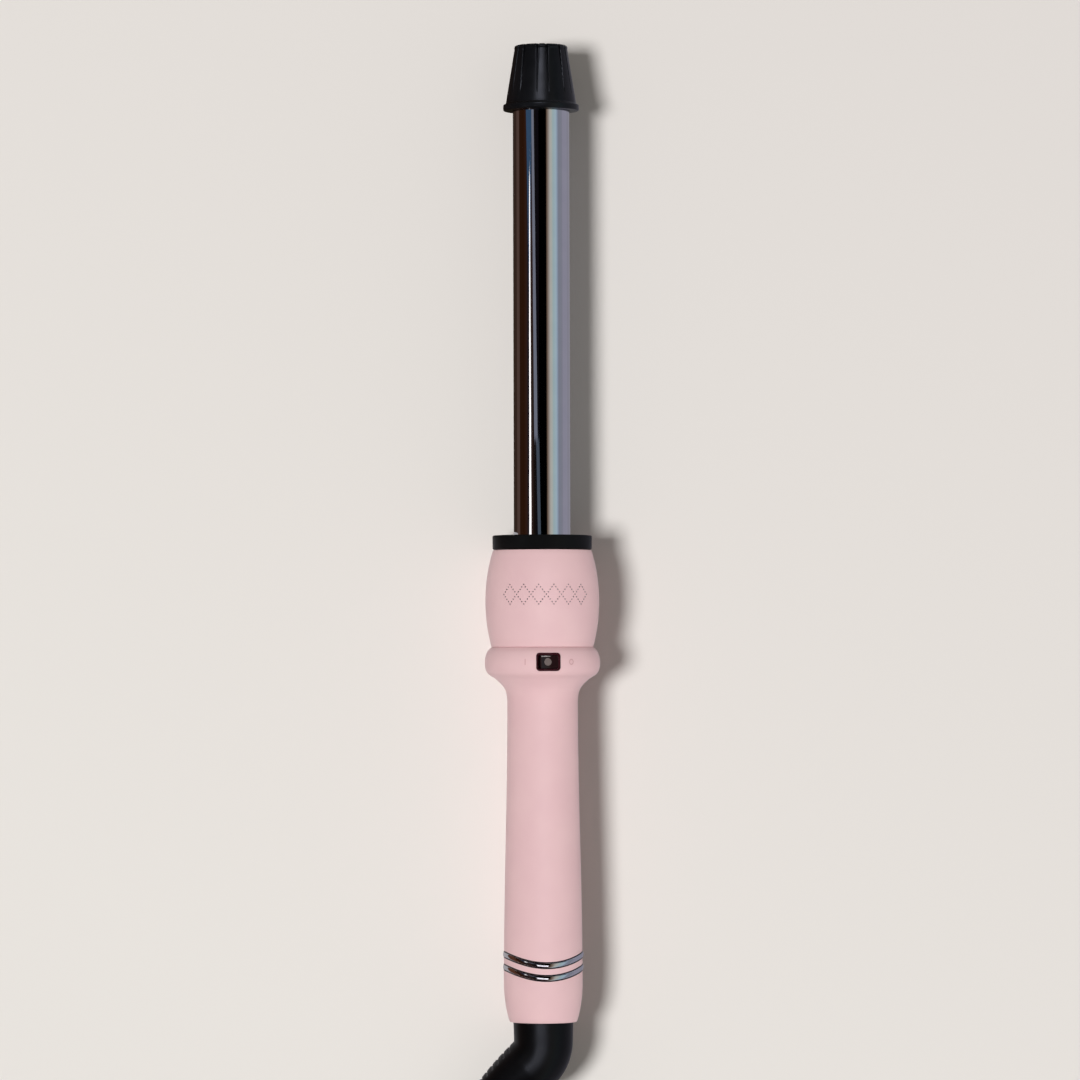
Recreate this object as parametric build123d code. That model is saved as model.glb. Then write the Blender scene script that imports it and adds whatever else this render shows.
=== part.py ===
from build123d import *
import math
import os

# The wand lies along Y: 0 is the rim of its tail, and Y grows towards the tip.
# X is to the right of the switch, and Z is up, on the switch side. All sizes are in millimetres.

# Handle shells
tail_rim_r = 14.9
tail_r = 17.4
tail_length = 18.0
waist_r = 15.6
grip_length = 140.0
flare_length = 18.4
collar_r = 25.5
collar_length = 7.1
crease_r = 22.4
shell_wall = 2.2
tail_recess_depth = 7.0
end_wall = 2.0
trap_lip = 2.0

# Nose housing and ring
bulb_r = 25.1
bulb_length = 42.9
nose_r = 21.8
nose_wall = 2.4
spigot_r = 19.6
spigot_wall = 2.2
spigot_flange_r = 21.3
spigot_flange_thick = 2.0
spigot_length = 6.0
nose_ring_r = 22.0
nose_ring_length = 6.3
nose_ring_neck_r = 16.6

# Barrel, heater and cool tip
barrel_r = 12.5
barrel_wall = 1.2
barrel_shown = 188.2
barrel_in_nose = 34.0
barrel_in_cap = 8.0
holder_wall = 2.2
holder_flange_r = 22.0
holder_flange_thick = 3.0
holder_flange_from_nose = 22.0
heater_from_ring = 18.2
heater_width = 15.0
heater_thick = 2.8
heater_from_cap = 20.0
heater_spring_thick = 0.5
heater_spring_inset = 5.0
heater_plate_inset = 4.0
fuse_r = 1.9
fuse_length = 14.0
fuse_inset = 6.0
fuse_sunk = 3.0
fuse_groove_r = 2.2
fuse_groove_length = 26.0
fuse_lead_r = 0.5
fuse_lead_length = 20.0
bead_r = 1.2
bead_length = 4.0
bead_lead_r = 0.4
bead_lead_length = 20.0
cap_length = 29.0
cap_lip_over_barrel = 4.3
cap_lip_length = 2.6
cap_root_over_barrel = 3.1
cap_end_under_barrel = 1.0
flute_count = 7
flute_turn_deg = 16.2
flute_arc_deg = 34.0
flute_depth = 1.3
flute_runout = 3.5
cap_screw_r = 1.5
cap_screw_head_r = 3.0
cap_screw_sunk = 8.0
cap_button_r = 6.0
cap_button_thick = 1.6
end_plug_length = 12.0

# Trim bands near the tail
band_width = 2.6
band_pitch = 5.6
band_proud = 0.35
band_depth = 0.9
band_sag = 4.3
band_side_place = 31.2

# Switch
switch_from_collar = 0.5
switch_width = 10.7
switch_length = 8.0
switch_corner_r = 1.6
switch_rim = 0.55
switch_floor = 1.0
switch_height = 11.0
switch_sunk = 0.35
rocker_half_width = 4.2
rocker_length = 6.3
rocker_tip_up = 3.1
rocker_middle_up = 2.3
rocker_skirt = 2.6
rocker_tilt_deg = 10.0
trunnion_r = 1.0
trunnion_length = 0.45
pivot_below_rim = 2.9
lens_r = 1.85
lens_thick = 0.6
lens_offset = 0.35
terminal_thick = 0.8
terminal_width = 4.0
terminal_length = 6.0
terminal_spread = 3.0

# Screws and board
screw_r = 1.3
screw_head_r = 2.6
screw_head_thick = 2.0
boss_r = 3.0
tail_screw_place = 52.5
neck_screw_from_flare = 9.0
handle_screw_sunk = 4.0
board_width = 20.0
board_length = 62.0
board_thick = 1.6
board_from_flare = 20.0
board_height = -3.0
board_inset = 4.0
triac_width = 10.0
triac_tab_thick = 1.3
triac_tab_height = 13.0
triac_body_thick = 3.2
triac_body_height = 8.0
capacitor_width = 5.0
capacitor_length = 13.0
capacitor_height = 8.5
board_fuse_r = 2.5
board_fuse_length = 12.0
chip_width = 6.0
chip_length = 5.0
chip_height = 1.8
wire_r = 0.9

# Swivel
spindle_r = 7.0
spindle_head_r = 10.0
spindle_head_thick = 3.0
spindle_length = 27.0
socket_wall = 2.2
socket_flange_thick = 3.0
socket_length = 20.0
clip_thick = 1.0
clip_wall = 2.0
contact_nose_r = 3.4
slip_ring_r = 5.2
slip_ring_length = 4.0
slip_ring_gap = 3.0
brush_thick = 0.6
brush_width = 3.0
brush_height = 8.0
brush_foot = 4.4
carrier_plate = 2.0
carrier_width = 21.0
carrier_foot_width = 8.0
carrier_foot_height = 6.0
carrier_end_wall = 1.2
carrier_end_wall_height = 2.4
carrier_clear = 1.4

# Boot of the cord, turned down towards the surface
boot_collar_r = 13.5
boot_neck_r = 13.0
boot_neck_length = 6.6
boot_bend_deg = 46.8
boot_bend_r = 13.6
boot_taper_length = 43.0
boot_end_r = 5.8
boot_drop_deg = 20.0
boot_slots = 10
boot_slot_start = 1.6
boot_slot_pitch = 3.8
boot_slot_width = 1.3
boot_slot_depth = 0.2

# Cord
cord_r = 3.5
coil_turns_wide = 3
coil_layers = 3
coil_turns = 8
coil_middle_r = 41.5
coil_centre = (-10.0, -116.0)
tie_thick = 0.8
tie_width = 12.0
tie_turn_deg = 0.0

# Plug: a flat two-pin plug for light appliances
plug_width = 35.3
plug_thick = 13.7
plug_length = 34.0
plug_tail_width = 13.0
plug_tail_length = 14.0
plug_tail_root_r = 5.6
plug_shoulder = 13.0
plug_nose = 6.0
plug_nose_inset = 5.0
pin_sunk = 13.0
plug_centre = (7.0, -147.2)
pin_spacing = 18.6
pin_r = 2.0
pin_length = 19.0
sleeve_length = 10.0
pin_core_r = 1.3

# Clearances
running = 0.05
loose = 0.2
air = 0.3
socket_gap = 0.35

# Places that follow from the sizes above
crease = grip_length + flare_length + collar_length
switch_place = grip_length + flare_length + switch_from_collar
handle_screw_places = (tail_screw_place, grip_length - neck_screw_from_flare)
board_start = grip_length - board_from_flare - board_length
nose = crease + bulb_length
barrel_start = nose + 0.2 + nose_ring_length
cap_start = barrel_start + barrel_shown
wand_end = cap_start + cap_length
barrel_bore_r = barrel_r - barrel_wall
cap_lip_r = barrel_r + cap_lip_over_barrel
cap_root_r = barrel_r + cap_root_over_barrel
cap_end_r = barrel_r - cap_end_under_barrel
tail_bore_r = boot_collar_r + air
cavity_start = tail_recess_depth + end_wall
end_wall_bore_r = spindle_r + running + socket_wall + socket_gap
cavity_tail_r = tail_r - shell_wall
cavity_waist_r = waist_r - shell_wall
collar_cavity_r = collar_r - shell_wall

# The row frame has its origin on the surface below the middle of the wand.
wand_middle = wand_end / 2
stand = Pos(0, -wand_middle, collar_r)


def turned(*points):
    """A solid turned about the wand's axis, from (radius, place) points."""
    return revolve(make_face(Polyline(*points, close=True)), Axis.Y)


def ring(inner, outer, start, end):
    return turned((inner, start), (outer, start), (outer, end), (inner, end))


def rod(radius, start, end):
    return ring(0, radius, start, end)


def block(width, length, height, x=0, y=0, z=0):
    """A box that starts at y and z, centred on x."""
    return Pos(x, y + length / 2, z + height / 2) * Box(width, length, height)


def post(radius, x, y, low, high):
    return Pos(x, y, (low + high) / 2) * Cylinder(radius, high - low)


def wire(radius, *points, bend=4.0):
    path = FilletPolyline(*points, radius=bend)
    return sweep(Plane(path @ 0, z_dir=path % 0) * Circle(radius), path)


def save(shape, name):
    placed = stand * shape
    placed.label = name
    export_step(placed, f"parts/{name}.step")


# ---- handle ----

def handle_outside():
    """The outer line of the handle, from the tail rim to the crease."""
    swell = tail_r - tail_rim_r
    rise = collar_r - waist_r
    tail = ThreePointArc(
        (tail_rim_r, 0),
        (tail_rim_r + 0.62 * swell, 0.36 * tail_length),
        (tail_r, tail_length),
    )
    grip = Spline(
        (tail_r, tail_length),
        (waist_r, grip_length),
        tangents=[(0, 1), (0, 1)],
    )
    flare = Spline(
        (waist_r, grip_length),
        (waist_r + 0.09 * rise, grip_length + 0.36 * flare_length),
        (waist_r + 0.47 * rise, grip_length + 0.60 * flare_length),
        (waist_r + 0.89 * rise, grip_length + 0.77 * flare_length),
        (collar_r, grip_length + flare_length),
        (crease_r + 0.72 * (collar_r - crease_r), crease - 0.35 * collar_length),
        (crease_r, crease),
        tangents=[(0, 1), (-1, 0.75)],
    )
    return [tail, grip, flare]


def handle_solid():
    core = Line((0, 0), (tail_rim_r, 0))
    top = Line((crease_r, crease), (0, crease))
    axis = Line((0, crease), (0, 0))
    return revolve(make_face([core, *handle_outside(), top, axis]), Axis.Y)


def handle_cavity():
    lip_end = crease - trap_lip - spigot_flange_thick - loose
    flare_start = grip_length + 0.40 * flare_length
    flare_end = grip_length + 0.88 * flare_length
    hollow = turned(
        (0, cavity_start),
        (cavity_tail_r - 0.6, cavity_start),
        (cavity_tail_r, tail_length),
        (cavity_waist_r, grip_length - 8),
        (cavity_waist_r, flare_start),
        (collar_cavity_r - 0.4, flare_end),
        (spigot_flange_r + loose, lip_end - 2),
        (spigot_flange_r + loose, crease - trap_lip),
        (spigot_r + loose, crease - trap_lip),
        (spigot_r + loose, crease + 1),
        (0, crease + 1),
    )
    recess = rod(tail_bore_r, -1, tail_recess_depth)
    bore = rod(end_wall_bore_r, 0, cavity_start + 1)
    return hollow + recess + bore


def band_sheet(index, grow=0.0):
    """The space between two sagging arcs, as seen from above, as deep as the handle."""
    low = band_side_place - index * band_pitch - band_width - grow
    high = low + band_width + 2 * grow
    reach = tail_r + 4
    drop = band_sag * (reach / tail_r) ** 2
    upper = ThreePointArc((-reach, high + drop - band_sag), (0, high - band_sag), (reach, high + drop - band_sag))
    lower = ThreePointArc((-reach, low + drop - band_sag), (0, low - band_sag), (reach, low + drop - band_sag))
    left = Line(lower @ 0, upper @ 0)
    right = Line(lower @ 1, upper @ 1)
    face = make_face([upper, lower, left, right])
    return extrude(face, 2 * reach, both=True)


def band_skin(outward, inward):
    """A round skin between two offsets from the tail's radius, longer than both bands."""
    low = band_side_place - band_pitch - band_width - band_sag - 3
    high = band_side_place + 4
    return ring(tail_r - inward, tail_r + outward, low, high)


def chrome_band(index):
    return band_skin(band_proud, band_depth) & band_sheet(index)


def band_grooves():
    seat = band_skin(band_proud + 3, band_depth + running)
    return [seat & band_sheet(index, running) for index in range(2)]


def boss(place, low, high):
    return post(boss_r, 0, place, low, high)


def screw_cuts(place, radius_here):
    shank = post(screw_r + running, 0, place, -radius_here - 3, radius_here - 5)
    head = post(screw_head_r + loose, 0, place, -radius_here - 3, -radius_here + handle_screw_sunk)
    return shank + head


def grip_radius(place):
    """The radius of the handle's outside at a place on the grip."""
    share = (place - tail_length) / (grip_length - tail_length)
    return tail_r + (waist_r - tail_r) * share * share * (3 - 2 * share)


def board_places():
    return (board_start + board_inset, board_start + board_length - board_inset)


def handle_halves():
    shell = handle_solid() - handle_cavity()
    for place in handle_screw_places:
        shell += boss(place, -grip_radius(place) + 1, grip_radius(place) - 1) & rod(grip_radius(place) - 1, 0, crease)
    for place in board_places():
        shell += boss(place, -grip_radius(place) + 1, board_height) & rod(grip_radius(place) - 1, 0, crease)
    for place in handle_screw_places:
        shell -= screw_cuts(place, grip_radius(place))
    for place in board_places():
        shell -= post(screw_r + running, 0, place, board_height - 6, board_height + 1)
    for groove in band_grooves():
        shell -= groove
    shell -= switch_seat()
    half = Box(4 * collar_r, 4 * crease, 2 * collar_r)
    front = shell & (Pos(0, 0, collar_r) * half)
    back = shell & (Pos(0, 0, -collar_r) * half)
    return front, back


def handle_screws():
    screws = []
    for place in handle_screw_places:
        seat = -grip_radius(place) + handle_screw_sunk
        head = post(screw_head_r, 0, place, seat - screw_head_thick, seat)
        shank = post(screw_r, 0, place, seat, grip_radius(place) - 6)
        screws.append(head + shank)
    return Compound(screws)


# ---- nose ----

def nose_housing():
    outer = ThreePointArc(
        (crease_r + 0.1, crease),
        (bulb_r, crease + 0.56 * bulb_length),
        (nose_r, nose),
    )
    front = Line((nose_r, nose), (nose_ring_neck_r + loose, nose))
    mouth = Line((nose_ring_neck_r + loose, nose), (nose_ring_neck_r + loose, nose - nose_wall))
    spigot_bore = spigot_r - spigot_wall
    inner = Polyline(
        (nose_ring_neck_r + loose, nose - nose_wall),
        (nose_r - nose_wall, nose - nose_wall),
        (bulb_r - nose_wall, nose - 0.28 * bulb_length),
        (bulb_r - nose_wall, crease + 0.36 * bulb_length),
        (crease_r - nose_wall, crease + 3),
        (spigot_bore, crease + 1),
        (spigot_bore, crease - spigot_length),
        (spigot_r, crease - spigot_length),
        (spigot_r, crease - trap_lip - spigot_flange_thick - loose / 2),
        (spigot_flange_r, crease - trap_lip - spigot_flange_thick - loose / 2),
        (spigot_flange_r, crease - trap_lip - loose / 2),
        (spigot_r, crease - trap_lip - loose / 2),
        (spigot_r, crease),
        (crease_r + 0.1, crease),
    )
    shell = revolve(make_face([outer, front, mouth, inner]), Axis.Y)
    shell -= switch_clearance()
    seat = nose - holder_flange_from_nose
    for x, z in holder_screw_places():
        column = Pos(x, 0, z) * rod(boss_r, seat, nose - nose_wall)
        column -= rod(barrel_r + holder_wall + loose, seat - 1, nose)
        pilot = Pos(x, 0, z) * rod(screw_r + running, seat - 1, seat + 12)
        shell += column
        shell -= pilot
    return shell


def switch_clearance():
    """A notch in the spigot that the switch stands in."""
    end = switch_place + switch_length / 2 + 2 * loose
    start = crease - spigot_length - 1
    return block(switch_width + 4 * loose, end - start, collar_r, 0, start, 0)


def holder_screw_places():
    radius = (barrel_r + holder_wall + bulb_r - nose_wall) / 2 + 0.1
    turns = (30, 150, 270)
    return [(radius * math.cos(math.radians(t)), radius * math.sin(math.radians(t))) for t in turns]


def barrel_holder():
    start = nose - holder_flange_from_nose - holder_flange_thick
    rear = barrel_start - barrel_in_nose
    sleeve = ring(barrel_r + running, barrel_r + holder_wall, rear, nose - nose_wall - loose)
    stop = ring(barrel_bore_r - 1.5, barrel_r + holder_wall, rear - 2, rear)
    flange = ring(barrel_r + running, holder_flange_r, start, start + holder_flange_thick)
    body = sleeve + stop + flange
    for x, z in holder_screw_places():
        body -= Pos(x, 0, z) * rod(screw_r + running, start - 1, start + holder_flange_thick + 1)
    return body


def holder_screws():
    start = nose - holder_flange_from_nose - holder_flange_thick
    screws = []
    for x, z in holder_screw_places():
        head = rod(screw_head_r, start - screw_head_thick, start)
        shank = rod(screw_r, start, start + holder_flange_thick + 9)
        screws.append(Pos(x, 0, z) * (head + shank))
    return Compound(screws)


def nose_ring():
    front = barrel_start
    back = nose + 0.2
    skirt = nose - nose_wall + loose / 2
    return turned(
        (barrel_r + air, skirt),
        (nose_ring_neck_r, skirt),
        (nose_ring_neck_r, back),
        (nose_ring_r - 0.7, back),
        (nose_ring_r, back + 0.8),
        (nose_ring_r, front - 0.6),
        (nose_ring_r - 0.6, front),
        (barrel_r + air, front),
    )


# ---- barrel and heater ----

def barrel():
    return ring(barrel_bore_r, barrel_r, barrel_start - barrel_in_nose, cap_start + barrel_in_cap)


def heater_span():
    return barrel_start + heater_from_ring, cap_start - heater_from_cap


def heater_halves():
    start, end = heater_span()
    gap = heater_thick / 2 + running
    upper = rod(barrel_bore_r - running, start, end) & block(60, 800, 30, 0, 0, gap)
    lower_r = barrel_bore_r - heater_spring_thick - 2 * running
    lower = rod(lower_r, start, end) & block(60, 800, 30, 0, 0, -gap - 30)
    fuse_height = barrel_bore_r - fuse_sunk
    fuse_groove = Pos(0, 0, fuse_height) * rod(fuse_groove_r, start - 1, start + fuse_groove_length)
    slot = block(2 * fuse_groove_r, fuse_groove_length + 1, 2 * fuse_sunk, 0, start - 1, fuse_height)
    return upper - fuse_groove - slot, lower


def heater_spring():
    start, end = heater_span()
    outer = barrel_bore_r - running
    leaf = ring(outer - heater_spring_thick, outer, start + heater_spring_inset, end - heater_spring_inset)
    return leaf & block(2 * 0.8 * outer, 800, 30, 0, 0, -30)


def heater_plate():
    start, end = heater_span()
    length = end - start - 2 * heater_plate_inset
    return block(heater_width, length, heater_thick, 0, start + heater_plate_inset, -heater_thick / 2)


def thermal_fuse():
    start, _ = heater_span()
    place = start + fuse_inset
    body = rod(fuse_r, place, place + fuse_length)
    return Pos(0, 0, barrel_bore_r - fuse_sunk) * (body + rod(fuse_lead_r, place - fuse_lead_length, place))


def thermistor():
    start, _ = heater_span()
    place = start - 1 - bead_length
    return rod(bead_r, place, start - 1) + rod(bead_lead_r, place - bead_lead_length, place)


def heater_leads():
    start, _ = heater_span()
    leads = []
    for side in (-1, 1):
        leads.append(wire(
            wire_r,
            (side * 3, start + 3.8, 0),
            (side * 3, start - 20, 0),
            (side * 5, start - 38, -2),
            (side * 5, crease, -2),
            (side * 7.5, grip_length - 2, board_height + board_thick + wire_r + 0.1),
            (side * 7.5, board_start + board_length - 8, board_height + board_thick + wire_r + 0.1),
            bend=3.0,
        ))
    return Compound(leads)


def tip_cap():
    lip = cap_start + cap_lip_length
    body = turned(
        (0, cap_start),
        (cap_lip_r - 0.5, cap_start),
        (cap_lip_r, cap_start + 0.5),
        (cap_lip_r, lip - 0.5),
        (cap_lip_r - 0.5, lip),
        (cap_root_r, lip + 0.6),
        (cap_end_r + 0.4, wand_end - 1.0),
        (cap_end_r - 0.6, wand_end),
        (0, wand_end),
    )
    for index in range(flute_count):
        body -= Rot(0, flute_turn_deg + 360 * index / flute_count, 0) * flute()
    body -= rod(barrel_r + running, cap_start - 1, cap_start + barrel_in_cap + loose)
    body -= rod(cap_screw_r + running, cap_start, wand_end + 1)
    body -= rod(cap_screw_head_r + loose, wand_end - cap_screw_sunk, wand_end + 1)
    body -= rod(cap_button_r + running, wand_end - cap_button_thick, wand_end + 1)
    return body


def flute():
    """A round scoop that is deepest at the end of the cap and runs out before the lip."""
    half_chord = cap_end_r * math.sin(math.radians(flute_arc_deg / 2))
    radius = (half_chord ** 2 + flute_depth ** 2) / (2 * flute_depth)
    runout = cap_start + cap_lip_length + flute_runout
    low = Vector(0, runout, cap_root_r + radius)
    high = Vector(0, wand_end, cap_end_r - flute_depth + radius)
    way = (high - low).normalized()
    length = (high - low).length + 8
    return Plane(origin=low, z_dir=way) * Pos(0, 0, length / 2) * Cylinder(radius, length)


def end_plug():
    start = cap_start + barrel_in_cap - end_plug_length
    plug = rod(barrel_bore_r - running, start, cap_start + barrel_in_cap)
    return plug - rod(cap_screw_r + running, start - 1, cap_start + barrel_in_cap + 1)


def cap_screw():
    seat = wand_end - cap_screw_sunk
    start = cap_start + barrel_in_cap - end_plug_length
    head = rod(cap_screw_head_r, seat + 0.1, seat + 2.4)
    return head + rod(cap_screw_r, start, seat + 0.1)


def cap_button():
    return rod(cap_button_r, wand_end - cap_button_thick + 0.02, wand_end - 0.1)


# ---- switch ----

def switch_top():
    """The height of the switch's rim above the axis."""
    return collar_r - switch_sunk


def switch_outline(grow=0.0):
    return RectangleRounded(switch_width + 2 * grow, switch_length + 2 * grow, switch_corner_r + grow)


def switch_seat():
    return Pos(0, switch_place, 0) * extrude(switch_outline(running), 2 * collar_r)


def pivot_height():
    return switch_top() - pivot_below_rim


def switch_body():
    top = switch_top()
    outside = Pos(0, switch_place, top - switch_height) * extrude(switch_outline(), switch_height)
    well_width = switch_width - 2 * switch_rim
    well_length = switch_length - 2 * switch_rim
    well = Pos(0, switch_place, top - switch_height + switch_floor) * extrude(
        RectangleRounded(well_width, well_length, switch_corner_r - switch_rim), switch_height
    )
    hole = post_along(trunnion_r + running, switch_place, pivot_height(), switch_length - 0.3)
    return outside - well - hole


def post_along(radius, place, height, length):
    return Pos(0, 0, height) * rod(radius, place - length / 2, place + length / 2)


def rocker_in_middle():
    pivot = pivot_height()
    outline = Polyline(
        (-rocker_half_width, rocker_tip_up),
        (0, rocker_middle_up),
        (rocker_half_width, rocker_tip_up),
        (rocker_half_width, 1.2),
        (0.5 * rocker_half_width, -rocker_skirt),
        (-0.5 * rocker_half_width, -rocker_skirt),
        (-rocker_half_width, 1.2),
        close=True,
    )
    body = extrude(Plane.XZ * make_face(outline), rocker_length / 2, both=True)
    body = fillet(body.edges().filter_by(Axis.Y).group_by(Axis.Z)[-1], 0.35)
    pins = rod(trunnion_r, -rocker_length / 2 - trunnion_length, rocker_length / 2 + trunnion_length)
    body += pins
    return pivot, body


def lens_in_middle():
    centre = Pos(-lens_offset, 0, rocker_middle_up)
    return centre * Pos(0, 0, 0.25) * Cylinder(lens_r, lens_thick)


def rocker_and_lens():
    pivot, body = rocker_in_middle()
    lens = lens_in_middle()
    body -= lens
    tilt = Pos(0, switch_place, pivot) * Rot(0, rocker_tilt_deg, 0)
    return tilt * body, tilt * lens


def switch_terminals():
    low = switch_top() - switch_height - terminal_length
    blades = []
    for side in (-1, 1):
        x, y = side * terminal_spread, switch_place - terminal_width / 2
        blades.append(block(terminal_thick, terminal_width, terminal_length - 0.02, x, y, low))
    return Compound(blades)


# ---- board ----

def control_board():
    board = block(board_width, board_length, board_thick, 0, board_start, board_height)
    for place in board_places():
        board -= post(screw_r + running, 0, place, board_height - 1, board_height + board_thick + 1)
    return board


def board_screws():
    top = board_height + board_thick
    screws = []
    for place in board_places():
        head = post(screw_head_r, 0, place, top, top + screw_head_thick)
        screws.append(head + post(screw_r, 0, place, board_height - 5, top))
    return Compound(screws)


def on_board(width, length, height, x, along):
    return block(width, length, height, x, board_start + along, board_height + board_thick)


def board_triac():
    tab = on_board(triac_width, triac_tab_thick, triac_tab_height, 3.0, 40)
    tab = tab & rod(cavity_waist_r - 0.5, 0, crease)
    body = on_board(triac_width, triac_body_thick, triac_body_height, 3.0, 40 + triac_tab_thick)
    return tab + body


def board_capacitor():
    return on_board(capacitor_width, capacitor_length, capacitor_height, -5.5, 12)


def board_fuse():
    height = board_height + board_thick + board_fuse_r + 0.1
    return Pos(5.5, 0, height) * rod(board_fuse_r, board_start + 12, board_start + 12 + board_fuse_length)


def board_chip():
    return on_board(chip_width, chip_length, chip_height, -4.5, 34)


def mains_wires():
    wires = []
    level = 4.0
    for side, place in ((-1, 0), (1, 1)):
        first = brush_place(place) + brush_width + 3.0
        wires.append(wire(
            wire_r,
            (side * 9.2, first, level),
            (side * 9.2, grip_length - 6, level),
            (side * 7.0, switch_place - 6, 7.0),
            (side * 7.0, switch_place + 1, 7.0),
            bend=3.0,
        ))
    return Compound(wires)


# ---- swivel ----

def spindle_top():
    return tail_recess_depth - 1.0 + spindle_length


def swivel_socket():
    start = cavity_start + loose / 2
    flange_r = cavity_tail_r - 0.8
    flange = ring(spindle_r + running, flange_r, start, start + socket_flange_thick)
    tube_r = spindle_r + running + socket_wall
    neck = ring(spindle_r + running, tube_r, tail_recess_depth + loose, start + socket_length)
    return flange + neck


def swivel_spindle():
    head_start = tail_recess_depth - 1.0 - spindle_head_thick
    clip_start = cavity_start + socket_length + loose
    body = rod(spindle_head_r, head_start, tail_recess_depth - 1.0)
    body += rod(spindle_r, tail_recess_depth - 1.0, spindle_top())
    body += rod(contact_nose_r, spindle_top(), slip_ring_place(1) + slip_ring_length + 1.5)
    body -= ring(spindle_r - 1.0, spindle_r + 1, clip_start, clip_start + clip_thick + 0.1)
    return body


def swivel_clip():
    start = cavity_start + socket_length + loose + running
    clip = ring(spindle_r - 1.0 + 0.02, spindle_r + clip_wall, start, start + clip_thick)
    return clip - block(5, 10, 20, 0, start - 2, -20)


def slip_ring_place(index):
    return spindle_top() + 1.0 + index * (slip_ring_length + slip_ring_gap)


def slip_ring(index):
    start = slip_ring_place(index)
    return ring(contact_nose_r, slip_ring_r, start, start + slip_ring_length)


def brush_place(index):
    return slip_ring_place(index) + (slip_ring_length - brush_width) / 2


def brush(index):
    """A sprung leaf that presses on its slip ring and stands on the carrier."""
    side = (-1, 1)[index]
    start = brush_place(index)
    near = slip_ring_r + running
    low = -brush_height / 2
    leaf = block(brush_thick, brush_width, brush_height, side * (near + brush_thick / 2), start, low)
    foot = block(brush_foot, brush_width, brush_thick, side * (near + brush_foot / 2), start, low - brush_thick)
    return leaf + foot


def brush_carrier():
    start = slip_ring_place(0) - 0.6
    end = slip_ring_place(1) + slip_ring_length + 2.0
    level = -brush_height / 2 - brush_thick - carrier_plate
    length = end - start
    wall_height = carrier_end_wall_height
    floor = block(carrier_width, length, carrier_plate - 0.02, 0, start, level)
    wall = block(carrier_width, carrier_end_wall, wall_height, 0, end - carrier_end_wall, level - wall_height)
    foot = block(carrier_foot_width, length, carrier_foot_height, 0, start, level - carrier_foot_height)
    room = rod(cavity_tail_r - carrier_clear, start - 1, end + 1)
    return ((floor + wall + foot) & room) - rod(slip_ring_r + 0.6, start - 1, end + 1)


# ---- boot and cord ----

def boot_turn():
    """The boot bends to the left and is turned down about the wand's axis."""
    return Rot(0, -boot_drop_deg, 0)


def boot_taper_plane():
    bend = math.radians(boot_bend_deg)
    x = -boot_bend_r * (1 - math.cos(bend))
    y = -boot_neck_length - boot_bend_r * math.sin(bend)
    way = (-math.sin(bend), -math.cos(bend), 0)
    return Plane(origin=(x, y, 0), x_dir=(0, 0, 1), z_dir=way)


def cord_boot():
    top = tail_recess_depth - 1.0
    neck = turned(
        (0, -boot_neck_length),
        (boot_neck_r, -boot_neck_length),
        (boot_collar_r, 0),
        (boot_collar_r, top),
        (0, top),
    )
    section = Plane(origin=(0, -boot_neck_length, 0), z_dir=(0, -1, 0)) * Circle(boot_neck_r)
    bend_axis = Axis((-boot_bend_r, -boot_neck_length, 0), (0, 0, -1))
    bend = revolve(section, bend_axis, boot_bend_deg)
    taper = boot_taper_plane() * Pos(0, 0, boot_taper_length / 2) * Cone(
        boot_neck_r, boot_end_r, boot_taper_length
    )
    body = neck + bend + taper
    for index in range(boot_slots):
        body -= boot_taper_plane() * boot_slot_pair(index)
    body -= rod(spindle_head_r, top - spindle_head_thick, top + 1)
    return boot_turn() * body


def boot_slot_pair(index):
    """A slot in each side of the boot, which lets it bend."""
    place = boot_slot_start + boot_slot_pitch * index
    radius = boot_neck_r + (boot_end_r - boot_neck_r) * place / boot_taper_length
    reach = radius + 10 - boot_slot_depth * radius
    cutter = Box(3 * radius, 20, boot_slot_width)
    return Pos(0, reach, place) * cutter + Pos(0, -reach, place) * cutter


def dropped(v, drop):
    return Vector(v.X * math.cos(drop), v.Y, v.X * math.sin(drop))


def boot_end():
    """Where the cord leaves the boot, and which way."""
    bend = math.radians(boot_bend_deg)
    drop = math.radians(boot_drop_deg)
    plane = boot_taper_plane()
    tip = plane.origin + plane.z_dir * boot_taper_length
    way = plane.z_dir
    return dropped(tip, drop), dropped(way, drop)


def arc_radii(points):
    """Each corner's radius is 0.45 of its shorter run, over the tangent of half its turn."""
    radii = []
    for a, b, c in zip(points, points[1:], points[2:]):
        first = Vector(*b) - Vector(*a)
        second = Vector(*c) - Vector(*b)
        turn = math.radians(first.get_angle(second))
        radii.append(0.45 * min(first.length, second.length) / math.tan(turn / 2))
    return radii


def cord_tube(points, name):
    radii = arc_radii(points)
    path = FilletPolyline(*points, radius=radii)
    tube = sweep(Plane(path @ 0, z_dir=path % 0) * Circle(cord_r), path)
    expected = math.pi * cord_r ** 2 * path.length
    print(name, "radii", [round(r, 1) for r in radii], "length", round(path.length, 1),
          "volume ratio", round(tube.volume / expected, 4))
    return tube, path.length


def floor_level():
    return -collar_r


def lead_route():
    """From the boot down to the surface and along the coil's outer turn."""
    start, way = boot_end()
    rest = floor_level() + cord_r + tie_thick
    outer = coil_middle_r + cord_r * (coil_turns_wide - 1)
    edge = coil_centre[0] - outer
    first = start + way * 11
    return [
        tuple(start),
        tuple(first),
        (-50.3, -64.5, -18.4),
        (-56.0, -78.0, rest + 0.4),
        (edge - 0.2, -93.0, rest),
        (edge + 0.3, -108.0, rest),
    ]


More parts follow.
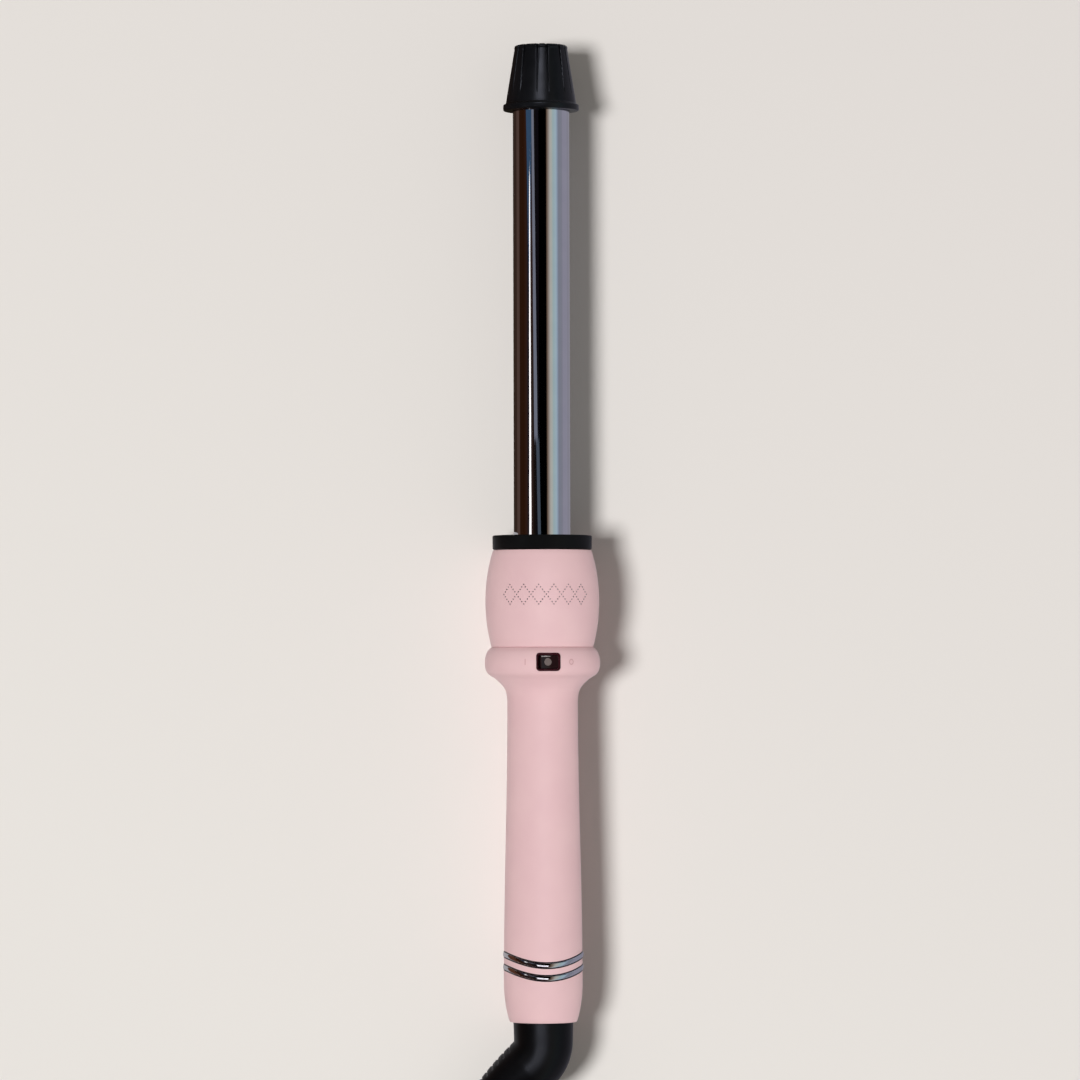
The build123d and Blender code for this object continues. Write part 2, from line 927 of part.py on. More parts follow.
def tail_route():
    """From the coil's top layer, over the coil, to the back of the plug."""
    top = floor_level() + tie_thick + 2 * cord_r * coil_layers
    plug_back = plug_centre[0] - plug_length / 2 - plug_tail_length
    return [
        (-54.6, -96.0, top - cord_r),
        (-57.9, -107.5, top + 0.2),
        (-58.3, -120.0, top + 3.4),
        (-54.0, -131.8, top + 5.2),
        (-45.3, -140.8, top + 6.4),
        (-33.8, -146.0, plug_level() - 0.1),
        (plug_back, plug_centre[1], plug_level()),
    ]


def cord_coil():
    half_width = cord_r * coil_turns_wide
    inner = coil_middle_r - half_width
    outer = coil_middle_r + half_width
    low = floor_level() + tie_thick
    high = low + 2 * cord_r * coil_layers
    bevel = 0.6 * cord_r
    profile = Polyline(
        (inner + bevel, low),
        (outer - bevel, low),
        (outer, low + bevel),
        (outer, high - bevel),
        (outer - bevel, high),
        (inner + bevel, high),
        (inner, high - bevel),
        (inner, low + bevel),
        close=True,
    )
    coil = revolve(Plane.XZ * make_face(profile), Axis.Z)
    return Pos(*coil_centre, 0) * coil


def cord_tie():
    half_width = cord_r * coil_turns_wide + running
    low = floor_level()
    high = low + tie_thick + 2 * cord_r * coil_layers + running
    loop = Pos(0, 0, (low + high + tie_thick) / 2) * Box(
        2 * (half_width + tie_thick), tie_width, high + tie_thick - low
    )
    hollow = Pos(0, 0, (low + tie_thick + high) / 2) * Box(2 * half_width, tie_width + 2, high - low - tie_thick)
    turn = Pos(*coil_centre, 0) * Rot(0, 0, tie_turn_deg) * Pos(coil_middle_r, 0, 0)
    inner_clear = coil_middle_r - cord_r * coil_turns_wide - 0.4
    outer_clear = coil_middle_r + cord_r * coil_turns_wide + 0.4
    curve = Pos(*coil_centre, 0) * (
        Pos(0, 0, (low + tie_thick + high) / 2) * Cylinder(outer_clear, high - low - tie_thick)
        - Pos(0, 0, (low + tie_thick + high) / 2) * Cylinder(inner_clear, high - low - tie_thick)
    )
    return turn * (loop - hollow) - curve


def plug_level():
    return floor_level() + tie_thick + 2 * cord_r * coil_layers + plug_thick / 2 + 0.1


def plug_body():
    x, y = plug_centre
    half = plug_length / 2
    outline = Polyline(
        (half, plug_width / 2 - plug_nose_inset),
        (half, -plug_width / 2 + plug_nose_inset),
        (half - plug_nose, -plug_width / 2),
        (-half + plug_shoulder, -plug_width / 2),
        (-half, -plug_tail_width / 2),
        (-half, plug_tail_width / 2),
        (-half + plug_shoulder, plug_width / 2),
        (half - plug_nose, plug_width / 2),
        close=True,
    )
    body = extrude(make_face(outline), plug_thick / 2, both=True)
    body = fillet(body.edges().filter_by(Axis.Z), 1.8)
    body = chamfer(body.faces().filter_by(Axis.Z).edges(), 1.6)
    tail_start = -half - plug_tail_length
    tail = Pos((tail_start - half) / 2, 0, 0) * Rot(0, 90, 0) * Cone(
        cord_r + 1.2, plug_tail_root_r, plug_tail_length
    )
    body = body + tail
    for side in (-1, 1):
        body -= Pos(0, side * pin_spacing / 2, 0) * along_x(pin_core_r, half - pin_sunk, half + 1)
    return Pos(x, y, plug_level()) * body


def along_x(radius, start, end):
    return Pos((start + end) / 2, 0, 0) * Rot(0, 90, 0) * Cylinder(radius, end - start)


def plug_pins():
    x, y = plug_centre
    face = plug_length / 2
    pins = []
    for side in (-1, 1):
        core = along_x(pin_core_r, face - pin_sunk, face + sleeve_length)
        bare = along_x(pin_r, face + sleeve_length, face + pin_length)
        pin = core + bare
        pin = chamfer(pin.edges().sort_by(Axis.X)[-1], 0.6)
        pins.append(Pos(x, y + side * pin_spacing / 2, plug_level()) * pin)
    return Compound(pins)


def pin_sleeves():
    x, y = plug_centre
    face = plug_length / 2
    sleeves = []
    for side in (-1, 1):
        outer = along_x(pin_r, face, face + sleeve_length)
        sleeve = outer - along_x(pin_core_r, face - 1, face + sleeve_length + 1)
        sleeves.append(Pos(x, y + side * pin_spacing / 2, plug_level()) * sleeve)
    return Compound(sleeves)


def main():
    os.makedirs("parts", exist_ok=True)
    front, back = handle_halves()
    save(front, "handle_front")
    save(back, "handle_back")
    save(handle_screws(), "handle_screws")
    save(chrome_band(0), "upper_trim_band")
    save(chrome_band(1), "lower_trim_band")
    save(nose_housing(), "nose_housing")
    save(nose_ring(), "nose_ring")
    save(barrel_holder(), "barrel_holder")
    save(holder_screws(), "holder_screws")
    save(barrel(), "barrel")
    upper, lower = heater_halves()
    save(upper, "upper_heat_spreader")
    save(lower, "lower_heat_spreader")
    save(heater_plate(), "heater_plate")
    save(heater_spring(), "heater_spring")
    save(thermal_fuse(), "thermal_fuse")
    save(thermistor(), "thermistor")
    save(heater_leads(), "heater_leads")
    save(tip_cap(), "tip_cap")
    save(end_plug(), "barrel_end_plug")
    save(cap_screw(), "cap_screw")
    save(cap_button(), "cap_button")
    save(switch_body(), "switch_body")
    rocker, lens = rocker_and_lens()
    save(rocker, "switch_rocker")
    save(lens, "rocker_lens")
    save(switch_terminals(), "switch_terminals")
    save(control_board(), "control_board")
    save(board_screws(), "board_screws")
    save(board_triac(), "board_triac")
    save(board_capacitor(), "board_capacitor")
    save(board_fuse(), "board_fuse")
    save(board_chip(), "board_chip")
    save(mains_wires(), "mains_wires")
    save(swivel_socket(), "swivel_socket")
    save(swivel_spindle(), "swivel_spindle")
    save(swivel_clip(), "swivel_clip")
    save(slip_ring(0), "live_slip_ring")
    save(slip_ring(1), "neutral_slip_ring")
    save(brush(0), "live_brush")
    save(brush(1), "neutral_brush")
    save(brush_carrier(), "brush_carrier")
    save(cord_boot(), "cord_boot")
    lead, lead_length = cord_tube(lead_route(), "cord_lead")
    tail, tail_length_along = cord_tube(tail_route(), "cord_tail")
    save(lead, "cord_lead")
    save(tail, "cord_tail")
    save(cord_coil(), "cord_coil")
    save(cord_tie(), "cord_tie")
    save(plug_body(), "plug_body")
    save(plug_pins(), "plug_pins")
    save(pin_sleeves(), "pin_sleeves")
    wound = coil_turns * 2 * math.pi * coil_middle_r
    print("cord length", round(lead_length + tail_length_along + wound, 1))
    print("wand length", round(wand_end, 2), "middle", round(wand_middle, 2))
    pivot = stand * Pos(0, switch_place, pivot_height())
    print("rocker pivot", pivot.position)
    tip, way = boot_end()
    print("boot end", stand * Pos(*tip), "way", way)
    print("plug centre", stand * Pos(plug_centre[0], plug_centre[1], plug_level()))


main()
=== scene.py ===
from functools import partial
from math import atan2, cos, degrees, pi, radians, sin, sqrt

import bmesh
import bpy
from mathutils import Matrix, Vector


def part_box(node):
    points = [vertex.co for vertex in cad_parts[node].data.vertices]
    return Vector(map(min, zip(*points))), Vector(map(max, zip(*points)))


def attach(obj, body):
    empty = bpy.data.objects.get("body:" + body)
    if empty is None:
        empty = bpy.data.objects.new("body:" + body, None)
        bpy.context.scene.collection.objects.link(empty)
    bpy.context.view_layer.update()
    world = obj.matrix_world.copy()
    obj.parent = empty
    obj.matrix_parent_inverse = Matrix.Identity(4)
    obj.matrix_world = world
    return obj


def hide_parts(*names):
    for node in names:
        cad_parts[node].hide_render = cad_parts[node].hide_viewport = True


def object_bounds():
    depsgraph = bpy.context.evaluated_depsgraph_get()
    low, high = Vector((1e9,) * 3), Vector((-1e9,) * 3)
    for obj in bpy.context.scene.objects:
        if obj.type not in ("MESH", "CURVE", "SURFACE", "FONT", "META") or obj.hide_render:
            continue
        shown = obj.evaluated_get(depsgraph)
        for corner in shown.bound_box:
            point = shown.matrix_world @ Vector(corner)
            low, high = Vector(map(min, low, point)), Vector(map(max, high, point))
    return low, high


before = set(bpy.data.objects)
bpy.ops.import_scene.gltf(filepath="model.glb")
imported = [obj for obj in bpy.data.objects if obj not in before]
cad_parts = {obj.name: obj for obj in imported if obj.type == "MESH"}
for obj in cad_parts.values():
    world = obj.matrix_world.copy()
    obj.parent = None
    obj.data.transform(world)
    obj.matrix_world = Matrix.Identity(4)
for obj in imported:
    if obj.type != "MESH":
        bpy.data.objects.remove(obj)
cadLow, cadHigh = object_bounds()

mm = 0.001
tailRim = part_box("handle_front")[0][1]  # the wand's length is counted from here
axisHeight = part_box("handle_front")[0][2]  # the two shells part on the wand's axis


def place(x, along, z):  # millimetres: to the right, from the tail rim, above the axis
    return Vector((x * mm, tailRim + along * mm, axisHeight + z * mm))


def around(radius, along, turn):  # turn in degrees from straight up, to the right
    return place(radius * sin(radians(turn)), along, radius * cos(radians(turn)))


view = {
    "distance": 2.6,  # metres
    "sensor": 36.0,
    "farthest": 50.0,
    "fromLeft": 6.0,  # degrees
    "fromTail": 1.3,
    "across": 478.0,  # mm seen at the wand's axis
    "aimX": -0.95,
    "roll": 0.15,  # degrees
    "aimAlong": 212.9,
}


def makeCamera():
    aim = place(view["aimX"], view["aimAlong"], 0)
    left = radians(view["fromLeft"])
    tail = radians(view["fromTail"])
    back = Vector((-sin(left), -sin(tail), cos(left))).normalized()
    side = Vector((0, 1, 0)).cross(back).normalized()
    turn = Matrix((side, back.cross(side), back)).transposed()
    camera = bpy.data.objects.new("camera", bpy.data.cameras.new("camera"))
    camera.data.sensor_width = view["sensor"]
    camera.data.lens = camera.data.sensor_width * view["distance"] / (view["across"] * mm)
    camera.data.clip_end = view["farthest"]
    roll = Matrix.Rotation(-radians(view["roll"]), 4, "Z")
    camera.matrix_world = Matrix.Translation(aim + back * view["distance"]) @ turn.to_4x4() @ roll
    bpy.context.scene.collection.objects.link(camera)
    bpy.context.scene.camera = camera


makeCamera()
print("camera placed")


def addNode(tree, kind, inputs=None, **settings):
    node = tree.nodes.new(kind)
    for name, value in settings.items():
        setattr(node, name, value)
    for key, value in (inputs or {}).items():
        if isinstance(value, bpy.types.NodeSocket):
            tree.links.new(value, node.inputs[key])
        else:
            node.inputs[key].default_value = value
    return node


def linear(hexColour):
    parts = [int(hexColour[i:i + 2], 16) / 255 for i in (1, 3, 5)]
    return tuple(p / 12.92 if p <= 0.04045 else ((p + 0.055) / 1.055) ** 2.4 for p in parts) + (1.0,)


def newMaterial(name, sockets):
    material = bpy.data.materials.new(name)
    material.use_nodes = True
    shader = material.node_tree.nodes["Principled BSDF"]
    for key, value in sockets.items():
        shader.inputs[key].default_value = value
    return material, material.node_tree, shader


grainSizes = {
    "noiseLow": 0.32,  # where most of the noise lies
    "noiseHigh": 0.68,
    "mouldedShade": 14,  # mm
    "mouldedGloss": 5,
    "metalShade": 9,
}


# noise of a size in mm, spread from low to high
def grain(tree, size, low, high, detail=2.0, stretch=(1, 1, 1)):
    coords = addNode(tree, "ShaderNodeTexCoord")
    scaled = addNode(tree, "ShaderNodeMapping", {"Vector": coords.outputs["Object"], "Scale": stretch})
    noise = addNode(
        tree, "ShaderNodeTexNoise", {"Vector": scaled.outputs[0], "Scale": 1 / (size * mm), "Detail": detail},
    )
    ends = {
        "Value": noise.outputs["Fac"], "From Min": grainSizes["noiseLow"],
        "From Max": grainSizes["noiseHigh"], "To Min": low, "To Max": high,
    }
    return addNode(tree, "ShaderNodeMapRange", ends).outputs[0]


def blendColours(tree, factor, first, second):
    mix = addNode(tree, "ShaderNodeMix", {"Factor": factor}, data_type="RGBA")
    mix.inputs[6].default_value = linear(first)
    mix.inputs[7].default_value = linear(second)
    return mix.outputs[2]


def bumped(tree, shader, height, depth):  # depth in mm
    bump = addNode(tree, "ShaderNodeBump", {"Height": height, "Distance": depth * mm})
    tree.links.new(bump.outputs[0], shader.inputs["Normal"])


# first and second shade, roughness range, texture in mm
def moulded(name, first, second, rough, texture, depth, **sockets):
    material, tree, shader = newMaterial(
        name, {"IOR": 1.5, **{k.replace("_", " "): v for k, v in sockets.items()}},
    )
    tree.links.new(
        blendColours(tree, grain(tree, grainSizes["mouldedShade"], 0, 1), first, second),
        shader.inputs["Base Color"],
    )
    tree.links.new(grain(tree, grainSizes["mouldedGloss"], rough[0], rough[1], 4), shader.inputs["Roughness"])
    bumped(tree, shader, grain(tree, texture, 0, 1, 1), depth)
    return material


# lines: size of the polishing or rolling marks in mm
def metal(name, first, second, rough, lines, depth, stretch=(1, 1, 1)):
    material, tree, shader = newMaterial(name, {"Metallic": 1.0})
    tree.links.new(
        blendColours(tree, grain(tree, grainSizes["metalShade"], 0, 1), first, second),
        shader.inputs["Base Color"],
    )
    tree.links.new(grain(tree, lines, rough[0], rough[1], 3, stretch), shader.inputs["Roughness"])
    bumped(tree, shader, grain(tree, lines, 0, 1, 2, stretch), depth)
    return material


# Soft-touch lacquer on moulded ABS: a smooth satin that spreads the light and lifts a little at the edges
pinkLacquer = moulded("softTouchLacquer", "#E8C2C7", "#EBC6CA", (0.46, 0.54), 0.35, 0.004,
                      Sheen_Weight=0.12, Sheen_Roughness=0.4, Specular_IOR_Level=0.4)
# Tone-on-tone pad print on the lacquer: the marks only show as a slightly greyer, smoother pink
padPrint = moulded("padPrintedInk", "#D3A4A9", "#D6A8AD", (0.3, 0.36), 0.3, 0.002)
# Plated steel, polished to a mirror: dark where the room is dark, with faint lengthwise polishing marks
mirrorPlate = metal("polishedPlatedSteel", "#DADADE", "#DEDEE1", (0.025, 0.04), 6.0, 0.0012, (6, 0.25, 6))
# Bright chrome on moulded ABS strips, a little wavy as plated mouldings are
trimChrome = metal("chromePlatedAbs", "#D6D7DB", "#DADADE", (0.06, 0.1), 2.5, 0.008)
# Heat-proof glass-filled nylon, moulded: black with a low even sheen
blackNylon = moulded("mouldedNylon", "#0C0C0D", "#101011", (0.42, 0.5), 0.3, 0.008, Specular_IOR_Level=0.14)
# The cool tip is the same nylon from a finely eroded tool, so its ribs catch a soft line of light
capNylon = moulded(
    "sparkErodedNylon", "#0B0C0F", "#0F1013", (0.28, 0.36), 0.35, 0.004, Specular_IOR_Level=0.25,
)
# Flexible PVC, moulded: satin black with a faint bloom
bootPvc = moulded(
    "mouldedFlexiblePvc", "#060607", "#08080A", (0.33, 0.4), 0.5, 0.006, Specular_IOR_Level=0.18,
)
# Extruded PVC flex: a touch shinier than the boot, with faint draw lines
flexPvc = moulded("extrudedPvcSheath", "#131313", "#181818", (0.38, 0.46), 0.8, 0.01)
# Moulded plug PVC with a matt eroded surface
plugPvc = moulded("mouldedPlugPvc", "#151516", "#1A1A1B", (0.45, 0.55), 0.3, 0.02)
# Polycarbonate switch parts, tool-polished: the frame is semi-gloss and the rocker shines. Their black is tinted
# maroon and brown, a painted reflection of the pink shell around them
frameBlackWithPaintedReflection = moulded(
    "semiGlossPolycarbonate", "#34131A", "#3B171F", (0.24, 0.3), 0.5, 0.003, Specular_IOR_Level=0.2,
)
# the rocker's brown tint is a painted reflection of the pink shell
rockerGlossWithPaintedReflection = moulded(
    "polishedPolycarbonate", "#1F1113", "#241416", (0.1, 0.15), 1.2, 0.002, Specular_IOR_Level=0.3,
)
# Smoked acrylic dot, frosted on its face
smokedDot = moulded("frostedAcrylic", "#6A5D5C", "#756867", (0.2, 0.28), 0.4, 0.01)
# Foil-stamped dots, dull silver
foilDots = metal("stampedFoil", "#A79DA0", "#AFA5A8", (0.35, 0.45), 0.5, 0.004)
# Nickel plate on turned brass: warm and bright, with fine turning marks
nickelPlate = metal("nickelPlatedBrass", "#C9C4BA", "#CFCABF", (0.14, 0.22), 0.5, 0.003, (1, 8, 8))
zincSteel = metal("zincPlatedSteel", "#A9ABAE", "#B4B5B6", (0.25, 0.4), 1.0, 0.004)
rolledBrass = metal("rolledBrass", "#C9A55A", "#D0AE66", (0.2, 0.32), 1.5, 0.003, (1, 6, 6))
extrudedAluminium = metal("extrudedAluminium", "#B9BABC", "#C2C3C4", (0.3, 0.42), 1.5, 0.004, (8, 0.4, 8))
phenolic = moulded("mouldedPhenolic", "#2B211C", "#332822", (0.45, 0.55), 0.4, 0.01)
firedCeramic = moulded("firedAlumina", "#C9BBA0", "#D2C5AB", (0.55, 0.65), 0.5, 0.01)
siliconeSleeve = moulded("siliconeSleeving", "#C9C7BE", "#D3D1C8", (0.5, 0.6), 0.6, 0.01)
solderResist = moulded("solderResistLaminate", "#1D5B3C", "#226844", (0.3, 0.4), 0.8, 0.01)
epoxyBlack = moulded("mouldedEpoxy", "#1B1B1C", "#222223", (0.5, 0.6), 0.4, 0.012)
filmYellow = moulded("cappedFilmBox", "#C99A2E", "#D2A43A", (0.35, 0.45), 0.6, 0.006)
nylonWhite = moulded("mouldedWhiteNylon", "#C9C7BD", "#D2D0C6", (0.4, 0.5), 0.5, 0.01)


def makeFuseGlass():  # drawn soda glass: clear, with a slight green at its edge
    material, tree, shader = newMaterial(
        "drawnSodaGlass",
        {"IOR": 1.52, "Roughness": 0.03, "Transmission Weight": 0.9, "Base Color": linear("#DDE8E4")},
    )
    bumped(tree, shader, grain(tree, 3, 0, 1), 0.002)
    return material


fuseGlass = makeFuseGlass()


def makeHookStrap():  # woven hook-and-loop strap: a napped ground with a 0.6 mm rib
    material, tree, shader = newMaterial(
        "wovenHookStrap", {"Sheen Weight": 0.4, "Sheen Roughness": 0.5, "Roughness": 0.85},
    )
    coords = addNode(tree, "ShaderNodeTexCoord")
    wave = addNode(
        tree, "ShaderNodeTexWave",
        {
            "Vector": coords.outputs["Object"], "Scale": 2 * pi / (20 * 0.6 * mm), "Distortion": 1.5,
            "Detail": 1.0,
        },
        bands_direction="Y",
    )
    tree.links.new(blendColours(tree, wave.outputs["Fac"], "#17171A", "#26262A"), shader.inputs["Base Color"])
    fuzz = addNode(
        tree, "ShaderNodeMath", {0: wave.outputs["Fac"], 1: grain(tree, 0.3, 0, 0.6, 3)}, operation="ADD",
    )
    bumped(tree, shader, fuzz.outputs[0], 0.12)
    return material


hookStrap = makeHookStrap()
print("materials mixed")


def looseObject(name, mesh):
    thing = bpy.data.objects.new(name, mesh)
    bpy.context.scene.collection.objects.link(thing)
    return thing


def newPiece(name, mesh, material, body, nodes, sharp=None):
    mesh.name = name
    piece = looseObject(name, mesh)
    mesh.materials.clear()
    mesh.materials.append(material)
    mesh.shade_smooth()
    if sharp is not None:
        mesh.set_sharp_from_angle(angle=radians(sharp))
    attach(piece, body)
    if nodes:
        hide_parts(*nodes)
    return piece


def meshFrom(build):
    shape = bmesh.new()
    build(shape)
    bmesh.ops.remove_doubles(shape, verts=shape.verts, dist=1e-7)
    bmesh.ops.recalc_face_normals(shape, faces=shape.faces)
    mesh = bpy.data.meshes.new("shape")
    shape.to_mesh(mesh)
    shape.free()
    return mesh


def lofted(rings, capped=True, closed=False):  # rings of points, the same number in each
    def build(shape):
        rows = [[shape.verts.new(p) for p in ring] for ring in rings]
        pairs = list(zip(rows, rows[1:]))
        if closed:
            pairs.append((rows[-1], rows[0]))
        for a, b in pairs:
            for i in range(len(a)):
                j = (i + 1) % len(a)
                shape.faces.new((a[i], a[j], b[j], b[i]))
        if capped and not closed:
            shape.faces.new(rows[0][::-1])
            shape.faces.new(rows[-1])
    return meshFrom(build)


# rounds the corners of a closed (radius, along) outline; a third number is a corner's own radius
def eased(corners, radius=0.3, steps=4):
    points = []
    for i, corner in enumerate(corners):
        here = Vector(corner[:2])
        before = Vector(corners[i - 1][:2]) - here
        after = Vector(corners[(i + 1) % len(corners)][:2]) - here
        own = corner[2] if len(corner) > 2 else radius
        cut = min(own, 0.45 * before.length, 0.45 * after.length)
        if cut < 0.01:
            points.append(here)
            continue
        a = here + before.normalized() * cut
        b = here + after.normalized() * cut
        for step in range(steps + 1):
            t = step / steps
            points.append(a * (1 - t) ** 2 + here * 2 * t * (1 - t) + b * t ** 2)
    return [tuple(p) for p in points]


def turned(outline, steps=144):  # spins a closed (radius, along) outline about the axis
    return lofted([[around(r, y, 360 * i / steps) for r, y in outline] for i in range(steps)], closed=True)


def through(points, steps, first=None, last=None):  # a smooth line through (radius, along) points
    line = []
    spots = [Vector(p) for p in points]
    for i, (a, b) in enumerate(zip(spots, spots[1:])):
        span = (b - a).length
        into = Vector(first).normalized() * span if i == 0 and first else (
            b - spots[max(i - 1, 0)]
        ).normalized() * span
        out = Vector(last).normalized() * span if i == len(spots) - 2 and last else (
            spots[min(i + 2, len(spots) - 1)] - a
        ).normalized() * span
        for step in range(steps):
            t = step / steps
            h = (
                2 * t ** 3 - 3 * t ** 2 + 1, t ** 3 - 2 * t ** 2 + t, -2 * t ** 3 + 3 * t ** 2,
                t ** 3 - t ** 2,
            )
            line.append(tuple(a * h[0] + into * h[1] + b * h[2] + out * h[3]))
    line.append(tuple(spots[-1]))
    return line


def circleThrough(a, b, c):  # centre and radius of the circle through three (radius, along) points
    (ax, ay), (bx, by), (cx, cy) = a, b, c
    d = 2 * (ax * (by - cy) + bx * (cy - ay) + cx * (ay - by))
    ux = (
        (ax * ax + ay * ay) * (by - cy) + (bx * bx + by * by) * (cy - ay) + (cx * cx + cy * cy) * (ay - by)
    ) / d
    uy = (
        (ax * ax + ay * ay) * (cx - bx) + (bx * bx + by * by) * (ax - cx) + (cx * cx + cy * cy) * (bx - ax)
    ) / d
    return ux, uy, sqrt((ax - ux) ** 2 + (ay - uy) ** 2)


def arcThrough(a, b, c, steps):  # points by their place along, which all three arcs here rise with
    ux, uy, radius = circleThrough(a, b, c)
    ys = [a[1] + (c[1] - a[1]) * i / steps for i in range(steps + 1)]
    return [(ux + sqrt(radius ** 2 - (y - uy) ** 2), y) for y in ys]


def roundedBox(width, length, radius, steps=10):  # a rounded rectangle about (0, 0)
    points = []
    for cx, cy, start in ((1, 1, 0), (-1, 1, 90), (-1, -1, 180), (1, -1, 270)):
        for step in range(steps + 1):
            turn = radians(start + 90 * step / steps)
            points.append(
                (
                    cx * (width / 2 - radius) + radius * cos(turn),
                    cy * (length / 2 - radius) + radius * sin(turn),
                )
            )
    return points


def cutWith(piece, cutters):
    for cutter in cutters:
        cut = piece.modifiers.new("cut", "BOOLEAN")
        cut.object = cutter
        cut.solver = "EXACT"
        mesh = bpy.data.meshes.new_from_object(piece.evaluated_get(bpy.context.evaluated_depsgraph_get()))
        piece.modifiers.clear()
        piece.data = mesh
        bpy.data.objects.remove(cutter)
    shape = bmesh.new()
    shape.from_mesh(piece.data)
    bmesh.ops.remove_doubles(shape, verts=shape.verts, dist=0.004 * mm)
    bmesh.ops.dissolve_degenerate(shape, edges=shape.edges, dist=0.001 * mm)
    shape.to_mesh(piece.data)
    shape.free()


# runs a Geometry Nodes tree with its named sizes and returns a plain mesh
def grown(tree, values, base=None):
    thing = looseObject("growing", base or bpy.data.meshes.new("growing"))
    nodes = thing.modifiers.new("nodes", "NODES")
    nodes.node_group = tree
    for item in tree.interface.items_tree:
        if item.item_type == "SOCKET" and item.in_out == "INPUT" and item.name in values:
            nodes[item.identifier] = values[item.name]
    mesh = bpy.data.meshes.new_from_object(thing.evaluated_get(bpy.context.evaluated_depsgraph_get()))
    thing.modifiers.clear()
    bpy.data.objects.remove(thing)
    return mesh


def newTree(name, sizes, geometryIn=False):
    tree = bpy.data.node_groups.new(name, "GeometryNodeTree")
    if geometryIn:
        tree.interface.new_socket("Geometry", in_out="INPUT", socket_type="NodeSocketGeometry")
    for size, value in sizes.items():
        kind = {int: "Int", float: "Float"}.get(type(value), "Material")
        socket = tree.interface.new_socket(size, in_out="INPUT", socket_type="NodeSocket" + kind)
        if value is not None:
            socket.default_value = value
    tree.interface.new_socket("Geometry", in_out="OUTPUT", socket_type="NodeSocketGeometry")
    return tree, tree.nodes.new("NodeGroupInput").outputs


def endTree(tree, geometry, material):
    real = addNode(tree, "GeometryNodeRealizeInstances", {"Geometry": geometry})
    painted = addNode(tree, "GeometryNodeSetMaterial", {"Geometry": real.outputs[0], "Material": material})
    addNode(tree, "NodeGroupOutput", {0: painted.outputs[0]})


def figure(tree, operation, *values):
    return addNode(tree, "ShaderNodeMath", dict(enumerate(values)), operation=operation).outputs[0]


def arithmetic(tree):
    return [partial(figure, tree, operation) for operation in ("MULTIPLY", "ADD", "SUBTRACT", "DIVIDE")]


def vector(tree, **parts):
    return addNode(tree, "ShaderNodeCombineXYZ", parts).outputs[0]


def ranged(tree, value, low, high):  # 0 at low, 1 at high, and held there beyond them
    return addNode(tree, "ShaderNodeMapRange", {"Value": value, "From Min": low, "From Max": high}).outputs[0]


cordSizes = {
    "thick": 7.0,
    "length": 2.23,  # metres
    "coilX": -10.0,
    "coilAlong": -116.0,
    "coilRadius": 41.5,  # at the middle of its turns
    "coilFloor": -21.2,  # height of the lowest turns' centre
    "pointsPerTurn": 16,
    "turns": 8,
    # points on the way to the coil, with heights from coilFloor, and on the way from it to the plug
    "leadPath": [(-50.3, -64.5, 2.8), (-56.0, -78.0, 0.4), (-58.7, -93.0, 0), (-58.9, -106.0, 0)],
    "tailPath": [(-48.6, -117.0, 0.4), (-49.2, -127.5, 1.6), (-44.0, -138.0, 2.7), (-33.8, -146.0, 3.15),
                 (-24.0, -147.2, 3.25)],
}
# degrees of winding in which the line steps over by one thickness of the cord: inwards, outwards and up
coilSteps = {
    "in": [(200, 280), (560, 640), (2180, 2260), (2540, 2620)],
    "out": [(1190, 1270), (1550, 1630)],
    "up": [(880, 950), (1870, 1940), (2805, 2880)],
    "drift": [(2835, 2900)],
}
bootEnd = place(-33.487, -45.949, -12.188)
bootWay = Vector((-0.685006, -0.684547, -0.249322))


def shifted(wound, windows):  # how many of these windows, in degrees, have gone by
    total = 0.0
    for low, high in windows:
        t = min(1.0, max(0.0, (wound - low) / (high - low)))
        total += t * t * (3 - 2 * t)
    return total


def coilPoint(wound):  # three layers: wound inwards, outwards and inwards again
    step = cordSizes["thick"]
    ins = shifted(wound, coilSteps["in"])
    outs = shifted(wound, coilSteps["out"])
    ups = shifted(wound, coilSteps["up"])
    drift = shifted(wound, coilSteps["drift"]) * 0.6
    radius = cordSizes["coilRadius"] + step * (1 - ins + outs + drift)
    # the line runs a little inside its points
    spread = 1 / (0.75 + 0.25 * cos(2 * pi / cordSizes["pointsPerTurn"]))
    turn = radians(180 + wound)
    x = cordSizes["coilX"] + spread * radius * cos(turn)
    along = cordSizes["coilAlong"] + spread * radius * sin(turn)
    return place(x, along, cordSizes["coilFloor"] + step * ups)


def makeCord():
    line = [bootEnd, bootEnd + bootWay * 11 * mm]
    line += [place(x, along, cordSizes["coilFloor"] + rise) for x, along, rise in cordSizes["leadPath"]]
    step = 360 / cordSizes["pointsPerTurn"]
    for i in range(cordSizes["turns"] * cordSizes["pointsPerTurn"]):
        line.append(coilPoint(i * step))
    line += [place(*spot) for spot in cordSizes["tailPath"]]
    curve = bpy.data.curves.new("mainsCord", "CURVE")
    curve.dimensions = "3D"
    curve.bevel_depth = cordSizes["thick"] / 2 * mm
    curve.bevel_resolution = 5
    curve.resolution_u = 4
    curve.use_fill_caps = True
    spline = curve.splines.new("NURBS")
    spline.points.add(len(line) - 1)
    for point, spot in zip(spline.points, line):
        point.co = (*spot, 1.0)
    spline.order_u = 3
    spline.use_endpoint_u = True
    spline.resolution_u = 4
    cord = looseObject("mainsCord", curve)
    curve.materials.append(flexPvc)
    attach(cord, "swivel")
    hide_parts("cord_lead", "cord_tail", "cord_coil")
    return cord


mainsCord = makeCord()
print("cord laid")

